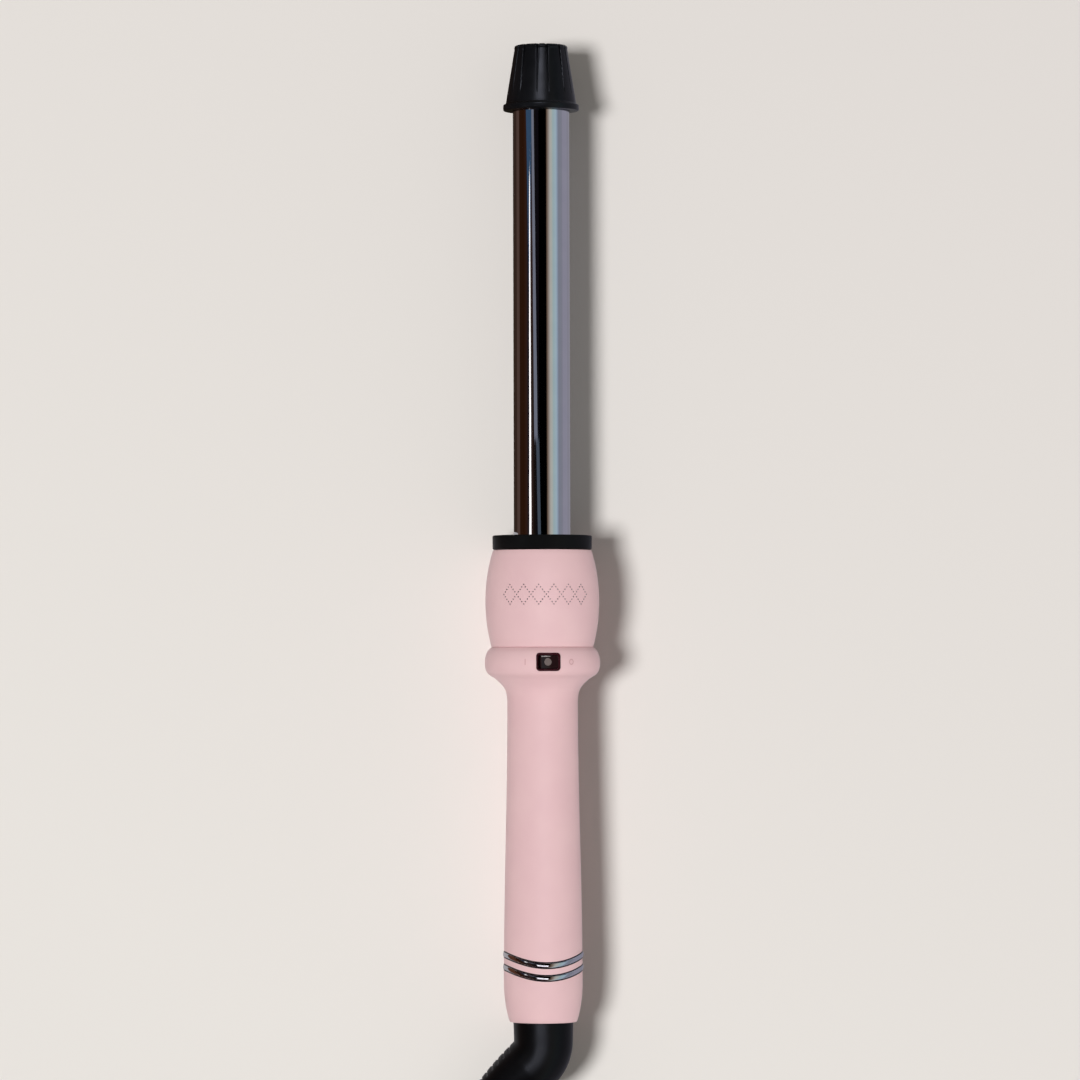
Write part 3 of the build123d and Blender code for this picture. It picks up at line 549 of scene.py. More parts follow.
bootSizes = {
    "collarRadius": 13.5,
    "neckRadius": 13.0,
    "neckLength": 8.3,
    "bend": 54.5,  # degrees
    "bendRadius": 13.6,
    "taperLength": 40.5,
    "endRadius": 5.8,
    "belly": 0.3,  # how far the taper swells beyond a plain cone, half way along
    "drop": 20.0,
    "slots": 10,
    "firstSlot": 1.9,
    "slotPitch": 3.6,
    "slotWidth": 1.5,
    "slotDepth": 0.24,  # share of the radius
    # a slot's edge: distance into the slot, share of its depth
    "slotEdge": [(-0.35, 0), (-0.12, 0.03), (0, 0.2), (0.08, 0.85), (0.25, 1)],
    "inHandle": 6.0,
    "shoulder": 0.25,
    "tip": (-35.636, -45.949),  # where the boot ends, before it is turned down
    "steps": 96,
}


def taperRadius(along):
    s = bootSizes
    share = along / s["taperLength"]
    return s["neckRadius"] + (s["endRadius"] - s["neckRadius"]) * share + 4 * s["belly"] * share * (1 - share)


def makeBoot():
    s = bootSizes
    drop = radians(s["drop"])
    bend = radians(s["bend"])
    taperFrom = Vector(
        (-s["bendRadius"] * (1 - cos(bend)), -s["neckLength"] - s["bendRadius"] * sin(bend), 0)
    )
    control = taperFrom + Vector((-sin(bend), -cos(bend), 0)) * s["taperLength"] / 2
    tip = Vector((*s["tip"], 0))
    collar = s["collarRadius"]
    root = collar - s["shoulder"]
    # length, radius, share of slot depth
    stations = [(-s["inHandle"], collar, 0), (-0.5, collar, 0), (0, collar - 0.15, 0), (0.4, root, 0)]
    for i in range(1, 6):
        stations.append((s["neckLength"] * i / 5, root - (root - s["neckRadius"]) * i / 5, 0))
    bendLength = radians(s["bend"]) * s["bendRadius"]
    for i in range(1, 17):
        stations.append((s["neckLength"] + bendLength * i / 16, s["neckRadius"], 0))
    taperStart = s["neckLength"] + bendLength
    edges = []
    for i in range(s["slots"]):
        low = s["firstSlot"] + s["slotPitch"] * i
        high = low + s["slotWidth"]
        edges += [(low + into, share) for into, share in s["slotEdge"]] + [((low + high) / 2, 1)]
        edges += [(high - into, share) for into, share in s["slotEdge"][::-1]]
    for along, share in edges:
        stations.append((taperStart + along, taperRadius(along), share))
    ends = [
        (s["taperLength"] - 1.2, 0), (s["taperLength"] - 0.5, 0.05), (s["taperLength"] - 0.12, 0.2),
        (s["taperLength"], 0.6),
    ]
    for along, inset in ends:
        stations.append((taperStart + along, taperRadius(along) - inset, 0))
    rings = []
    for length, radius, share in stations:
        if length <= s["neckLength"]:
            middle, turn = Vector((0, -length, 0)), 0.0
        elif length <= taperStart:
            turn = (length - s["neckLength"]) / s["bendRadius"]
            middle = Vector(
                (-s["bendRadius"] * (1 - cos(turn)), -s["neckLength"] - s["bendRadius"] * sin(turn), 0)
            )
        else:
            t = (length - taperStart) / s["taperLength"]
            middle = taperFrom * (1 - t) ** 2 + control * 2 * t * (1 - t) + tip * t * t
            way = (control - taperFrom) * (1 - t) + (tip - control) * t
            turn = atan2(-way.x, -way.y)
        side = Vector((cos(turn), -sin(turn), 0))
        ring = []
        for i in range(s["steps"]):
            a = 2 * pi * i / s["steps"]
            across, up = radius * cos(a), radius * sin(a)
            limit = radius * (1 - s["slotDepth"] * share)
            across = max(-limit, min(limit, across))
            spot = middle + side * across + Vector((0, 0, up))
            spot = Vector(
                (spot.x * cos(drop) - spot.z * sin(drop), spot.y, spot.x * sin(drop) + spot.z * cos(drop))
            )
            ring.append(place(*spot))
        rings.append(ring)
    newPiece("cordBoot", lofted(rings), bootPvc, "swivel", ["cord_boot"], sharp=50)


makeBoot()
print("boot moulded")

plugSizes = {
    "x": 7.0,
    "along": -147.2,
    "z": 3.25,
    "width": 35.3,
    "thick": 13.7,
    "length": 34.0,
    "tailWidth": 13.0,
    "tailLength": 14.0,
    "pinSpacing": 18.6,
    "pinRadius": 2.0,
    "pinLength": 19.0,
    "sleeveLength": 10.0,
    "tailRibs": 4,
    "ribRadius": 5.5,
    "ribTaper": 1.3,
    "waist": 13.0,  # where the body narrows, from its tail end
}


def plugSpot(x, y, z):
    return place(plugSizes["x"] + x, plugSizes["along"] + y, plugSizes["z"] + z)


def alongPlug(outline, y=0.0, steps=48):  # spins a closed (radius, x) outline about the plug's length
    rings = []
    for i in range(steps):
        a = 2 * pi * i / steps
        rings.append([plugSpot(x, y + r * cos(a), r * sin(a)) for r, x in outline])
    return lofted(rings, closed=True)


def makePlug():
    s = plugSizes
    half, wide, tail = s["length"] / 2, s["width"] / 2, s["tailWidth"] / 2
    waist = -half + s["waist"]
    corners = [
        (half, -wide, 5.0), (half, wide, 5.0), (waist, wide, 4.0), (-half, tail, 2.5), (-half, -tail, 2.5),
        (waist, -wide, 4.0),
    ]
    outline = eased(corners, 3.0, 6)
    thick = s["thick"] / 2
    # height, inset
    levels = [
        (-thick, 1.6), (-thick + 0.15, 0.8), (-thick + 0.6, 0.3), (-thick + 1.5, 0.0), (-0.25, 0.0),
        (-0.1, 0.12),
    ]
    levels += [(-z, inset) for z, inset in levels[::-1]]
    rings = []
    for z, inset in levels:
        rings.append([plugSpot(x * (1 - inset / half), y * (1 - inset / wide), z) for x, y in outline])
    newPiece("plugBody", lofted(rings), plugPvc, "swivel", ["plug_body"], sharp=40)
    shape = [(0, -half + 2.0)]
    for i in range(s["tailRibs"] + 1):
        x = -half - 0.5 - i * (s["tailLength"] - 1.5) / (s["tailRibs"] + 1)
        radius = s["ribRadius"] - s["ribTaper"] * i / s["tailRibs"]
        shape += [
            (radius, x + 0.6, 0.4), (radius - 0.15, x - 1.0, 0.3), (radius - 0.9, x - 1.25, 0.2),
            (radius - 0.9, x - 1.9, 0.2),
        ]
    shape += [
        (4.5, -half - s["tailLength"] + 0.6, 0.3), (4.2, -half - s["tailLength"], 0.3),
        (0, -half - s["tailLength"]),
    ]
    newPiece("plugTail", alongPlug(eased(shape, 0.2, 3)), plugPvc, "swivel", [], sharp=50)
    for name, side in (("upperPin", 1), ("lowerPin", -1)):
        y = side * s["pinSpacing"] / 2
        pin, start, end = s["pinRadius"], half + s["sleeveLength"], half + s["pinLength"]
        bare = eased(
            [
                (0, start - 6), (pin - 0.1, start - 6), (pin - 0.1, start + 0.1), (pin, start + 0.15),
                (pin, end, 0.9), (0, end),
            ],
            0.05, 5,
        )
        newPiece(
            name, alongPlug(bare, y), nickelPlate, "swivel", ["plug_pins"] if side > 0 else [],
            sharp=40,
        )
        sleeve = eased(
            [(0, half - 1), (pin, half - 1), (pin, start, 0.15), (pin - 0.25, start), (0, start - 0.1)], 0.05,
            3,
        )
        newPiece(
            name + "Sleeve", alongPlug(sleeve, y), plugPvc, "swivel", ["pin_sleeves"] if side > 0 else [],
            sharp=40,
        )


makePlug()

tieSizes = {
    "width": 12.0,
    "thick": 0.8,
    "halfSpan": 10.6,
    "lowest": -25.5,
    "highest": -2.7,
    "tab": 9.0,
}


def makeTie():
    s = tieSizes
    height = s["highest"] - s["lowest"]
    middle = (s["highest"] + s["lowest"]) / 2
    outline = roundedBox(2 * (s["halfSpan"] + s["thick"]), height, 3.2, 8)
    inner = roundedBox(2 * s["halfSpan"], height - 2 * s["thick"], 2.4, 8)
    sweep = degrees(s["width"] / cordSizes["coilRadius"])
    centre = (cordSizes["coilX"], cordSizes["coilAlong"])

    def spot(across, z, turn):
        radius = cordSizes["coilRadius"] + across
        return place(centre[0] + radius * cos(radians(turn)), centre[1] + radius * sin(radians(turn)), z)

    def build(shape):
        outer, hollow = [], []
        for i in range(13):
            turn = sweep * (i / 12 - 0.5)
            outer.append([shape.verts.new(spot(x, middle + z, turn)) for x, z in outline])
            hollow.append([shape.verts.new(spot(x, middle + z, turn)) for x, z in inner])
        count = len(outline)
        for rows in (outer, hollow):
            for a, b in zip(rows, rows[1:]):
                for i in range(count):
                    j = (i + 1) % count
                    shape.faces.new((a[i], a[j], b[j], b[i]))
        for k in (0, -1):
            for i in range(count):
                j = (i + 1) % count
                shape.faces.new((outer[k][i], outer[k][j], hollow[k][j], hollow[k][i]))
    loop = newPiece("cordTie", meshFrom(build), hookStrap, "swivel", ["cord_tie"], sharp=50)
    trim = loop.modifiers.new("trim", "BEVEL")
    trim.width, trim.segments, trim.limit_method = 0.25 * mm, 2, "ANGLE"
    rings = []
    for i in range(9):  # the loose end, pressed down on top
        turn = sweep * 0.92 * (i / 8 - 0.5)
        ring = roundedBox(s["tab"], 0.8, 0.35, 3)
        rings.append([spot(x - 3.0, s["highest"] + 0.35 + z, turn) for x, z in ring])
    newPiece("tieEnd", lofted(rings), hookStrap, "swivel", [], sharp=50)


makeTie()
print("plug and tie made")

handleSizes = {
    "rimRadius": 14.9,
    "tailRadius": 17.4,
    "tailLength": 18.0,
    "waistRadius": 15.6,
    "gripLength": 140.0,
    "flareLength": 18.4,
    "collarRadius": 25.5,
    "collarLength": 7.1,
    "creaseRadius": 22.4,
    "wall": 2.2,
    "seam": 0.12,  # depth of the line where the shells meet
    "screwHoles": (52.5, 131.0),
    "screwHoleRadius": 2.8,
}
crease = handleSizes["gripLength"] + handleSizes["flareLength"] + handleSizes["collarLength"]


def handleLine():
    s = handleSizes
    rim, tail, waist, collar = s["rimRadius"], s["tailRadius"], s["waistRadius"], s["collarRadius"]
    swell = tail - rim
    line = [(rim - 0.55, 0.0), (rim - 0.25, 0.08), (rim - 0.05, 0.3)]
    line += arcThrough(
        (rim, 0), (rim + 0.62 * swell, 0.36 * s["tailLength"]), (tail, s["tailLength"]), 16,
    )[1:]
    steps = 40
    for i in range(1, steps):
        share = i / steps
        line.append(
            (
                tail + (waist - tail) * share * share * (3 - 2 * share),
                s["tailLength"] + share * (s["gripLength"] - s["tailLength"]),
            )
        )
    rise, start, length = collar - waist, s["gripLength"], s["flareLength"]
    knots = [
        (waist, start), (waist + 0.09 * rise, start + 0.36 * length),
        (waist + 0.47 * rise, start + 0.60 * length),
    ]
    knots += [(waist + 0.89 * rise, start + 0.77 * length), (collar, start + length)]
    knots += [
        (s["creaseRadius"] + 0.72 * (collar - s["creaseRadius"]), crease - 0.35 * s["collarLength"]),
        (s["creaseRadius"] + 0.25, crease - 0.2),
    ]
    line += through(knots, 10, (0, 1), (-1, 0.75))
    line.append((s["creaseRadius"] - 0.1, crease))
    return line


def makeHandle():
    s = handleSizes
    wall = s["wall"]
    inside = [
        (s["creaseRadius"] - wall - 0.6, crease), (s["creaseRadius"] - wall - 0.6, crease - 5),
        (s["collarRadius"] - wall - 0.4, s["gripLength"] + 15.5),
    ]
    inside += [
        (s["waistRadius"] - wall, s["gripLength"] + 7), (s["waistRadius"] - wall, s["gripLength"] - 8),
        (s["tailRadius"] - wall, s["tailLength"]),
    ]
    inside += [
        (s["tailRadius"] - wall - 0.6, 9.0), (9.6, 9.0), (9.6, 7.0), (13.8, 7.0), (13.8, 0.35), (14.0, 0.0),
    ]
    outline = handleLine() + inside
    steps = 120
    for name, node, start in (("frontShell", "handle_front", -90), ("backShell", "handle_back", 90)):
        sweep = [start] + [start + 0.35] + [
            start + 180 * i / steps
            for i in range(1, steps)
        ] + [start + 179.65, start + 180]
        rings = []
        for k, turn in enumerate(sweep):
            end = k in (0, len(sweep) - 1)
            rings.append([around(r - (s["seam"] if end and r > 14.2 else 0), y, turn) for r, y in outline])
        piece = newPiece(name, lofted(rings), pinkLacquer, "handle", [node], sharp=35)
        cutters = []
        if node == "handle_front":
            low, high = place(0, 0, 12).z, place(0, 0, 40).z
            hole = roundedBox(
                switchSizes["width"] + 0.1, switchSizes["length"] + 0.1, switchSizes["corner"] + 0.05,
            )
            rings = [
                [Vector((place(x, 0, 0).x, place(0, switchSizes["along"] + y, 0).y, z)) for x, y in hole]
                for z in (low, high)
            ]
            cutters.append(looseObject("cutter", lofted(rings)))
        else:
            for along in s["screwHoles"]:
                radius = s["screwHoleRadius"]
                circle = [(radius * cos(2 * pi * i / 40), radius * sin(2 * pi * i / 40)) for i in range(40)]
                rings = [[place(x, along + y, z) for x, y in circle] for z in (-30, -11.6)]
                cutters.append(looseObject("cutter", lofted(rings)))
        cutWith(piece, cutters)
        piece.data.shade_smooth()
        piece.data.set_sharp_from_angle(angle=radians(35))


switchSizes = {
    "along": 158.9,
    "width": 10.7,
    "length": 8.0,
    "corner": 1.6,
    "rim": 0.95,
    "top": 25.15,  # above the axis
    "well": 6.0,
    "pivotBelow": 2.9,
    "rockerHalf": 4.15,
    "rockerLength": 6.0,
    "tipUp": 3.1,
    "middleUp": 2.3,
    "tilt": 10.0,
    "dotRadius": 1.65,
    "dotOffset": 0.65,
}
makeHandle()
print("handle shells moulded")

noseSizes = {
    "bulbRadius": 25.1,
    "length": 42.9,
    "frontRadius": 21.8,
    "wall": 2.4,
    "ringRadius": 22.0,
    "ringLength": 6.3,
    "gap": 0.2,
    "barrelRadius": 12.5,
    "barrelShown": 188.2,
}
noseEnd = crease + noseSizes["length"]
barrelStart = noseEnd + noseSizes["gap"] + noseSizes["ringLength"]
capStart = barrelStart + noseSizes["barrelShown"]


def bulbArc():
    s = noseSizes
    return (handleSizes["creaseRadius"] + 0.1, crease), (
        s["bulbRadius"], crease + 0.56 * s["length"],
    ), (s["frontRadius"], noseEnd)


def makeNose():
    s = noseSizes
    line = arcThrough(*bulbArc(), 48)
    line[0] = (line[0][0] - 0.1, crease + 0.02)  # a soft edge at the crease
    line.insert(1, (line[1][0] - 0.12, crease + 0.2))
    line = line[:-1] + [
        (s["frontRadius"], noseEnd - 0.35), (s["frontRadius"] - 0.1, noseEnd - 0.1),
        (s["frontRadius"] - 0.35, noseEnd),
    ]
    inside = [
        (16.8, noseEnd), (16.8, noseEnd - s["wall"]), (19.2, noseEnd - s["wall"]), (22.6, noseEnd - 12),
        (22.6, crease + 15),
    ]
    inside += [
        (20.0, crease + 3), (17.4, crease + 1), (17.4, crease - 0.5), (19.6, crease - 0.5), (19.6, crease),
    ]
    newPiece(
        "noseHousing", turned(line + inside, 240), pinkLacquer, "handle", ["nose_housing"],
        sharp=40,
    )
    ring = eased(
        [
            (12.8, noseEnd - 2.0), (16.6, noseEnd - 2.0), (16.6, noseEnd + s["gap"]),
            (s["ringRadius"] - 0.05, noseEnd + s["gap"], 0.8), (s["ringRadius"], barrelStart, 0.7),
            (13.6, barrelStart, 0.5), (12.8, barrelStart - 0.8, 0.2),
        ],
        0.1, 6,
    )
    newPiece("noseRing", turned(ring, 240), blackNylon, "handle", ["nose_ring"], sharp=40)
    radius = s["barrelRadius"]
    tube = [(radius, barrelStart - 20), (radius, barrelStart - 1), (radius, barrelStart + 1)]
    tube += [(radius, barrelStart + s["barrelShown"] * i / 24) for i in range(1, 24)]
    tube += [
        (radius, capStart - 1), (radius, capStart + 7.5), (radius - 1.2, capStart + 8),
        (radius - 1.2, barrelStart - 20),
    ]
    newPiece("barrelTube", turned(tube, 288), mirrorPlate, "handle", ["barrel"], sharp=40)


makeNose()
print("nose, ring and barrel turned")

capSizes = {
    "length": 29.0,
    "lipRadius": 16.8,
    "lipLength": 2.6,
    "rootRadius": 15.6,
    "endRadius": 11.5,
    "panels": 7,
    "panelTurn": 22.9,  # degrees from straight up to the first panel's middle
    "panelHalf": 15.4,  # degrees from a panel's middle to the point where its grooves start
    "grooveSpread": 4.3,  # degrees that each side of a groove has opened by at the end
    "grooveDepth": 1.6,
    "deepening": 0.7,  # how early the grooves reach their depth: a power of the length
    "leastSpread": 0.017,  # radians
    "hollow": 0.08,  # how far the panels sink at their middle, as a share of the groove
    "skin": (6.6, 9.8),  # radii between which the end face takes up the grooves
    "section": [(0.1, 0.02), (0.2, 0.09), (0.3, 0.3), (0.42, 0.8), (0.52, 1.0), (0.8, 1.0), (0.92, 0.85),
                (0.98, 0.1)],
    "runout": 4.5,
    "buttonRadius": 6.0,
    "steps": 728,
}


def makeFluteTree():
    sizes = {
        "Panels": 7.0, "First turn": 0.0, "Panel half": 0.26, "Spread": 0.08, "Depth": 0.0013, "Start": 0.0,
        "End": 0.03, "Axis height": 0.0, "Material": None,
    }
    tree, sockets = newTree("flutedCap", sizes, geometryIn=True)
    times, plus, minus, over = arithmetic(tree)
    spot = addNode(
        tree, "ShaderNodeSeparateXYZ", {0: addNode(tree, "GeometryNodeInputPosition").outputs[0]},
    ).outputs
    up = minus(spot[2], sockets["Axis height"])
    radius = figure(tree, "SQRT", plus(times(spot[0], spot[0]), times(up, up)))
    turn = minus(figure(tree, "ARCTAN2", spot[0], up), sockets["First turn"])
    pitch = over(2 * pi, sockets["Panels"])
    off = figure(tree, "PINGPONG", turn, times(pitch, 0.5))  # turn from the nearest panel's middle
    share = ranged(tree, spot[1], sockets["Start"], sockets["End"])
    opened = figure(tree, "MAXIMUM", times(share, sockets["Spread"]), capSizes["leastSpread"])
    inner = minus(sockets["Panel half"], opened)
    outer = plus(sockets["Panel half"], opened)
    across = ranged(tree, off, inner, outer)  # 0 at the panel, 1 at the rib
    curve = addNode(tree, "ShaderNodeFloatCurve", {"Value": across})
    line = curve.mapping.curves[0]
    line.points[0].location = (0.0, 0.0)
    line.points[1].location = (1.0, 0.0)
    for x, y in capSizes["section"]:  # a groove's depth from the panel's edge to the rib
        line.points.new(x, y)
    curve.mapping.update()
    bow = over(off, inner)
    hollow = times(figure(tree, "MAXIMUM", minus(1.0, times(bow, bow)), 0.0), capSizes["hollow"])
    depth = times(figure(tree, "POWER", share, capSizes["deepening"]), sockets["Depth"])
    edge = ranged(tree, radius, capSizes["skin"][0] * mm, capSizes["skin"][1] * mm)
    sunk = times(times(depth, plus(curve.outputs[0], hollow)), edge)
    scale = over(sunk, figure(tree, "MAXIMUM", radius, 0.001))
    offset = vector(tree, X=times(times(spot[0], scale), -1.0), Z=times(times(up, scale), -1.0))
    moved = addNode(tree, "GeometryNodeSetPosition", {"Geometry": sockets["Geometry"], "Offset": offset})
    endTree(tree, moved.outputs[0], sockets["Material"])
    return tree


def makeCap():
    s = capSizes
    end = capStart + s["length"]
    lip = capStart + s["lipLength"]
    wall = [
        (12.7, capStart + 8), (12.7, capStart + 0.4), (13.1, capStart, 0.1), (s["lipRadius"], capStart, 0.8),
        (s["lipRadius"], lip, 0.9), (s["rootRadius"] + 0.15, lip + 0.45, 0.5),
    ]
    outline = eased(wall, 0.1, 5)
    slope = (s["endRadius"] - s["rootRadius"]) / (s["length"] - s["lipLength"] - 1.0)
    side = []
    y = lip + 1.2
    while y < end - 1.3:
        side.append((s["rootRadius"] + slope * (y - lip - 0.6), y))
        y += 0.42
    outline += side
    outline += eased(
        [
            (s["endRadius"] + 0.35, end - 1.25), (s["endRadius"] - 0.05, end, 1.1),
            (s["buttonRadius"] + 0.15, end, 0.35), (s["buttonRadius"] + 0.15, end - 1.6), (0, end - 1.6),
        ],
        0.05, 7,
    )
    outline += [(0, capStart + 8)]
    mesh = turned(outline, s["steps"])
    values = {
        "Panels": float(s["panels"]), "First turn": radians(s["panelTurn"]),
        "Panel half": radians(s["panelHalf"]), "Spread": radians(s["grooveSpread"]),
        "Depth": s["grooveDepth"] * mm, "Start": place(0, lip + s["runout"], 0).y, "End": place(0, end, 0).y,
        "Axis height": axisHeight, "Material": capNylon,
    }
    newPiece(
        "tipCap", grown(makeFluteTree(), values, mesh), capNylon, "handle", ["tip_cap"],
        sharp=88,
    )
    button = [
        (0, end - 1.55), (s["buttonRadius"] - 0.1, end - 1.55), (s["buttonRadius"] - 0.1, end - 0.25, 0.4),
        (3.2, end - 0.12, 0.5), (2.6, end - 0.3, 0.3), (0, end - 0.3),
    ]
    newPiece(
        "capButton", turned(eased(button, 0.05, 5), 96), capNylon, "handle", ["cap_button"],
        sharp=60,
    )


makeCap()
print("cool tip made")

bandSizes = {
    "radius": 17.75,
    "width": 2.6,
    "bright": 2.1,  # width of the chrome itself; the rest is the dark line at each edge, painted shade of the gap beside the band
    "pitch": 5.6,
    "sag": 4.3,  # how far the middle hangs towards the tail, seen from above
    "sidePlace": 31.2,
    "depth": 0.9,
    "shadeStripBeyond": 0.22,
    "steps": 240,
}


def makeBands():
    s = bandSizes
    half = s["bright"] / 2
    section = [
        (-half, -s["depth"]), (-half, -0.28), (-half + 0.1, -0.16), (-half + 0.35, -0.05),
        (-half + 0.75, 0.0), (0, 0.03),
    ]
    section += [(-y, z) for y, z in section[-2::-1]]
    edge = s["width"] / 2 + s["shadeStripBeyond"]
    for name, node, index in (("upperBand", "upper_trim_band", 0), ("lowerBand", "lower_trim_band", 1)):
        middle = s["sidePlace"] - index * s["pitch"] - s["width"] / 2
        rings = []
        for i in range(s["steps"]):
            turn = 360 * i / s["steps"]
            across = s["radius"] * sin(radians(turn))
            sag = s["sag"] * (1 - (across / s["radius"]) ** 2)
            rings.append([around(s["radius"] + z, middle - sag + y, turn) for y, z in section])
        newPiece(name, lofted(rings, closed=True), trimChrome, "handle", [node], sharp=50)
        # a black strip under each band, a little wider than it: painted shade for the gap at each edge of the
        # band
        shadeStrip = []
        for i in range(s["steps"]):
            turn = 360 * i / s["steps"]
            sag = s["sag"] * (1 - sin(radians(turn)) ** 2)
            shadeStrip.append(
                [
                    around(handleSizes["tailRadius"] + z, middle - sag + y, turn)
                    for y, z in ((-edge, -0.5), (-edge, 0.05), (edge, 0.05), (edge, -0.5))
                ]
            )
        newPiece(name + "Seat", lofted(shadeStrip, closed=True), blackNylon, "handle", [], sharp=50)


makeBands()


def switchSpot(x, y, z):  # z from the top of the rim
    return place(x, switchSizes["along"] + y, switchSizes["top"] + z)


def rockerSpot(x, y, z):  # about the pivot, with the rocker's tilt
    tilt = radians(switchSizes["tilt"])
    return switchSpot(
        x * cos(tilt) + z * sin(tilt), y, -switchSizes["pivotBelow"] - x * sin(tilt) + z * cos(tilt),
    )


def makeSwitch():
    s = switchSizes
    rim = s["rim"]
    levels = [
        (0.0, -s["well"]), (0.0, -0.22), (0.05, -0.07), (0.16, 0.0), (0.34, -0.02), (rim - 0.2, -0.3),
        (rim - 0.06, -0.42), (rim, -0.6), (rim, 1.0 - s["well"]),
    ]
    rings = []
    for inset, z in levels:
        loop = roundedBox(s["width"] - 2 * inset, s["length"] - 2 * inset, max(s["corner"] - inset, 0.5))
        rings.append([switchSpot(x, y, z) for x, y in loop])
    newPiece("switchFrame", lofted(rings), frameBlackWithPaintedReflection, "handle", ["switch_body"], sharp=50)
    half = s["rockerHalf"]
    top = [
        (-half, s["tipUp"], 0.5), (-0.55 * half, 0.5 * (s["tipUp"] + s["middleUp"]) - 0.1, 1.0),
        (0, s["middleUp"], 1.2),
    ]
    outline = eased(
        top + [
            (0.55 * half, 0.5 * (s["tipUp"] + s["middleUp"]) - 0.1, 1.0), (half, s["tipUp"], 0.5),
            (half, 1.2), (0.5 * half, -2.2), (-0.5 * half, -2.2), (-half, 1.2),
        ],
        0.3, 5,
    )
    wide = s["rockerLength"] / 2
    rings = []
    # from each end, how far the top has dropped
    fall = [(0.0, 0.6), (0.08, 0.42), (0.25, 0.26), (0.55, 0.14), (1.0, 0.05), (1.6, 0.01)]
    for y, inset in [(-wide + y, z) for y, z in fall] + [(0, 0.0)] + [(wide - y, z) for y, z in fall[::-1]]:
        rings.append(
            [rockerSpot(x * (1 - inset / half), y, z - inset * (1 if z > 1.4 else 0)) for x, z in outline]
        )
    newPiece("rocker", lofted(rings), rockerGlossWithPaintedReflection, "rocker", ["switch_rocker"], sharp=50)
    dot = eased(
        [
            (0, s["middleUp"] - 0.6), (s["dotRadius"], s["middleUp"] - 0.6),
            (s["dotRadius"], s["middleUp"] + 0.42, 0.2), (s["dotRadius"] - 0.35, s["middleUp"] + 0.46, 0.2),
            (0, s["middleUp"] + 0.18, 0),
        ],
        0.05, 5,
    )
    rings = [
        [rockerSpot(-s["dotOffset"] + r * cos(2 * pi * i / 64), r * sin(2 * pi * i / 64), z) for r, z in dot]
        for i in range(64)
    ]
    newPiece(
        "rockerDot", lofted(rings, closed=True), smokedDot, "rocker", ["rocker_lens"], sharp=50,
    )


makeSwitch()
print("bands and switch made")

# a row of dotted lozenges on the nose, and I and O beside the switch
dotSizes = {
    "along": 188.6,
    "width": 40.5,
    "height": 8.6,
    "lozenges": 6,
    "turn": -1.9,  # degrees from the top
    "dot": 0.58,
    "pitch": 1.3,
    "proud": 0.0,
}


def makeDotTree():
    sizes = {
        "Width": 0.037, "Half height": 0.004, "Lozenges": 6.0, "Dot": 0.0005, "Pitch": 0.001,
        "Centre out": 0.0, "Centre along": 0.0, "Arc radius": 0.1, "Middle along": 0.0, "Turn": 0.0,
        "Axis height": 0.0, "Proud": 0.0, "Material": None,
    }
    tree, sockets = newTree("dottedLozenges", sizes)
    times, plus, minus, over = arithmetic(tree)
    half = times(sockets["Width"], 0.5)
    start = vector(tree, X=times(half, -1.0))
    end = vector(tree, X=half)
    line = addNode(tree, "GeometryNodeCurvePrimitiveLine", {"Start": start, "End": end}).outputs[0]
    step = over(sockets["Width"], times(sockets["Lozenges"], 2.0))
    fall = over(sockets["Half height"], step)
    # length of the sloping line for each step across
    slant = figure(tree, "SQRT", plus(times(fall, fall), 1.0))
    perSide = figure(tree, "ROUND", over(times(step, slant), sockets["Pitch"]))
    count = plus(times(times(sockets["Lozenges"], 2.0), perSide), 1.0)
    even = addNode(
        tree, "GeometryNodeResampleCurve", {"Curve": line, "Count": count}, mode="COUNT",
    ).outputs[0]
    points = addNode(tree, "GeometryNodeCurveToPoints", {"Curve": even}, mode="EVALUATED").outputs[0]
    across = addNode(
        tree, "ShaderNodeSeparateXYZ", {0: addNode(tree, "GeometryNodeInputPosition").outputs[0]},
    ).outputs[0]
    rise = times(figure(tree, "PINGPONG", plus(across, half), step), fall)
    sheets = []
    for side in (1.0, -1.0):
        y = times(rise, side)
        off = minus(plus(y, sockets["Middle along"]), sockets["Centre along"])
        deep = minus(times(sockets["Arc radius"], sockets["Arc radius"]), times(off, off))
        radius = plus(plus(sockets["Centre out"], figure(tree, "SQRT", deep)), sockets["Proud"])
        turn = plus(over(across, radius), sockets["Turn"])
        x = times(figure(tree, "SINE", turn), radius)
        z = plus(times(figure(tree, "COSINE", turn), radius), sockets["Axis height"])
        spot = vector(tree, X=x, Y=plus(y, sockets["Middle along"]), Z=z)
        sheets.append(
            addNode(tree, "GeometryNodeSetPosition", {"Geometry": points, "Position": spot}).outputs[0]
        )
    joined = addNode(tree, "GeometryNodeJoinGeometry", {0: sheets[0]})
    tree.links.new(sheets[1], joined.inputs[0])
    ball = addNode(
        tree, "GeometryNodeMeshIcoSphere", {"Radius": times(sockets["Dot"], 0.5), "Subdivisions": 2},
    ).outputs[0]
    # one dot where two lozenges meet
    single = addNode(
        tree, "GeometryNodeMergeByDistance", {"Geometry": joined.outputs[0], "Distance": 0.0001},
    ).outputs[0]
    dots = addNode(tree, "GeometryNodeInstanceOnPoints", {"Points": single, "Instance": ball})
    endTree(tree, dots.outputs[0], sockets["Material"])
    return tree


def makeDots():
    s = dotSizes
    out, along, radius = circleThrough(*bulbArc())
    values = {
        "Width": s["width"] * mm, "Half height": s["height"] / 2 * mm, "Lozenges": float(s["lozenges"]),
        "Dot": s["dot"] * mm, "Pitch": s["pitch"] * mm, "Centre out": out * mm,
        "Centre along": place(0, along, 0).y, "Arc radius": radius * mm,
        "Middle along": place(0, s["along"], 0).y, "Turn": radians(s["turn"]), "Axis height": axisHeight,
        "Proud": s["proud"] * mm, "Material": foilDots,
    }
    newPiece("noseDots", grown(makeDotTree(), values), foilDots, "handle", [])


makeDots()

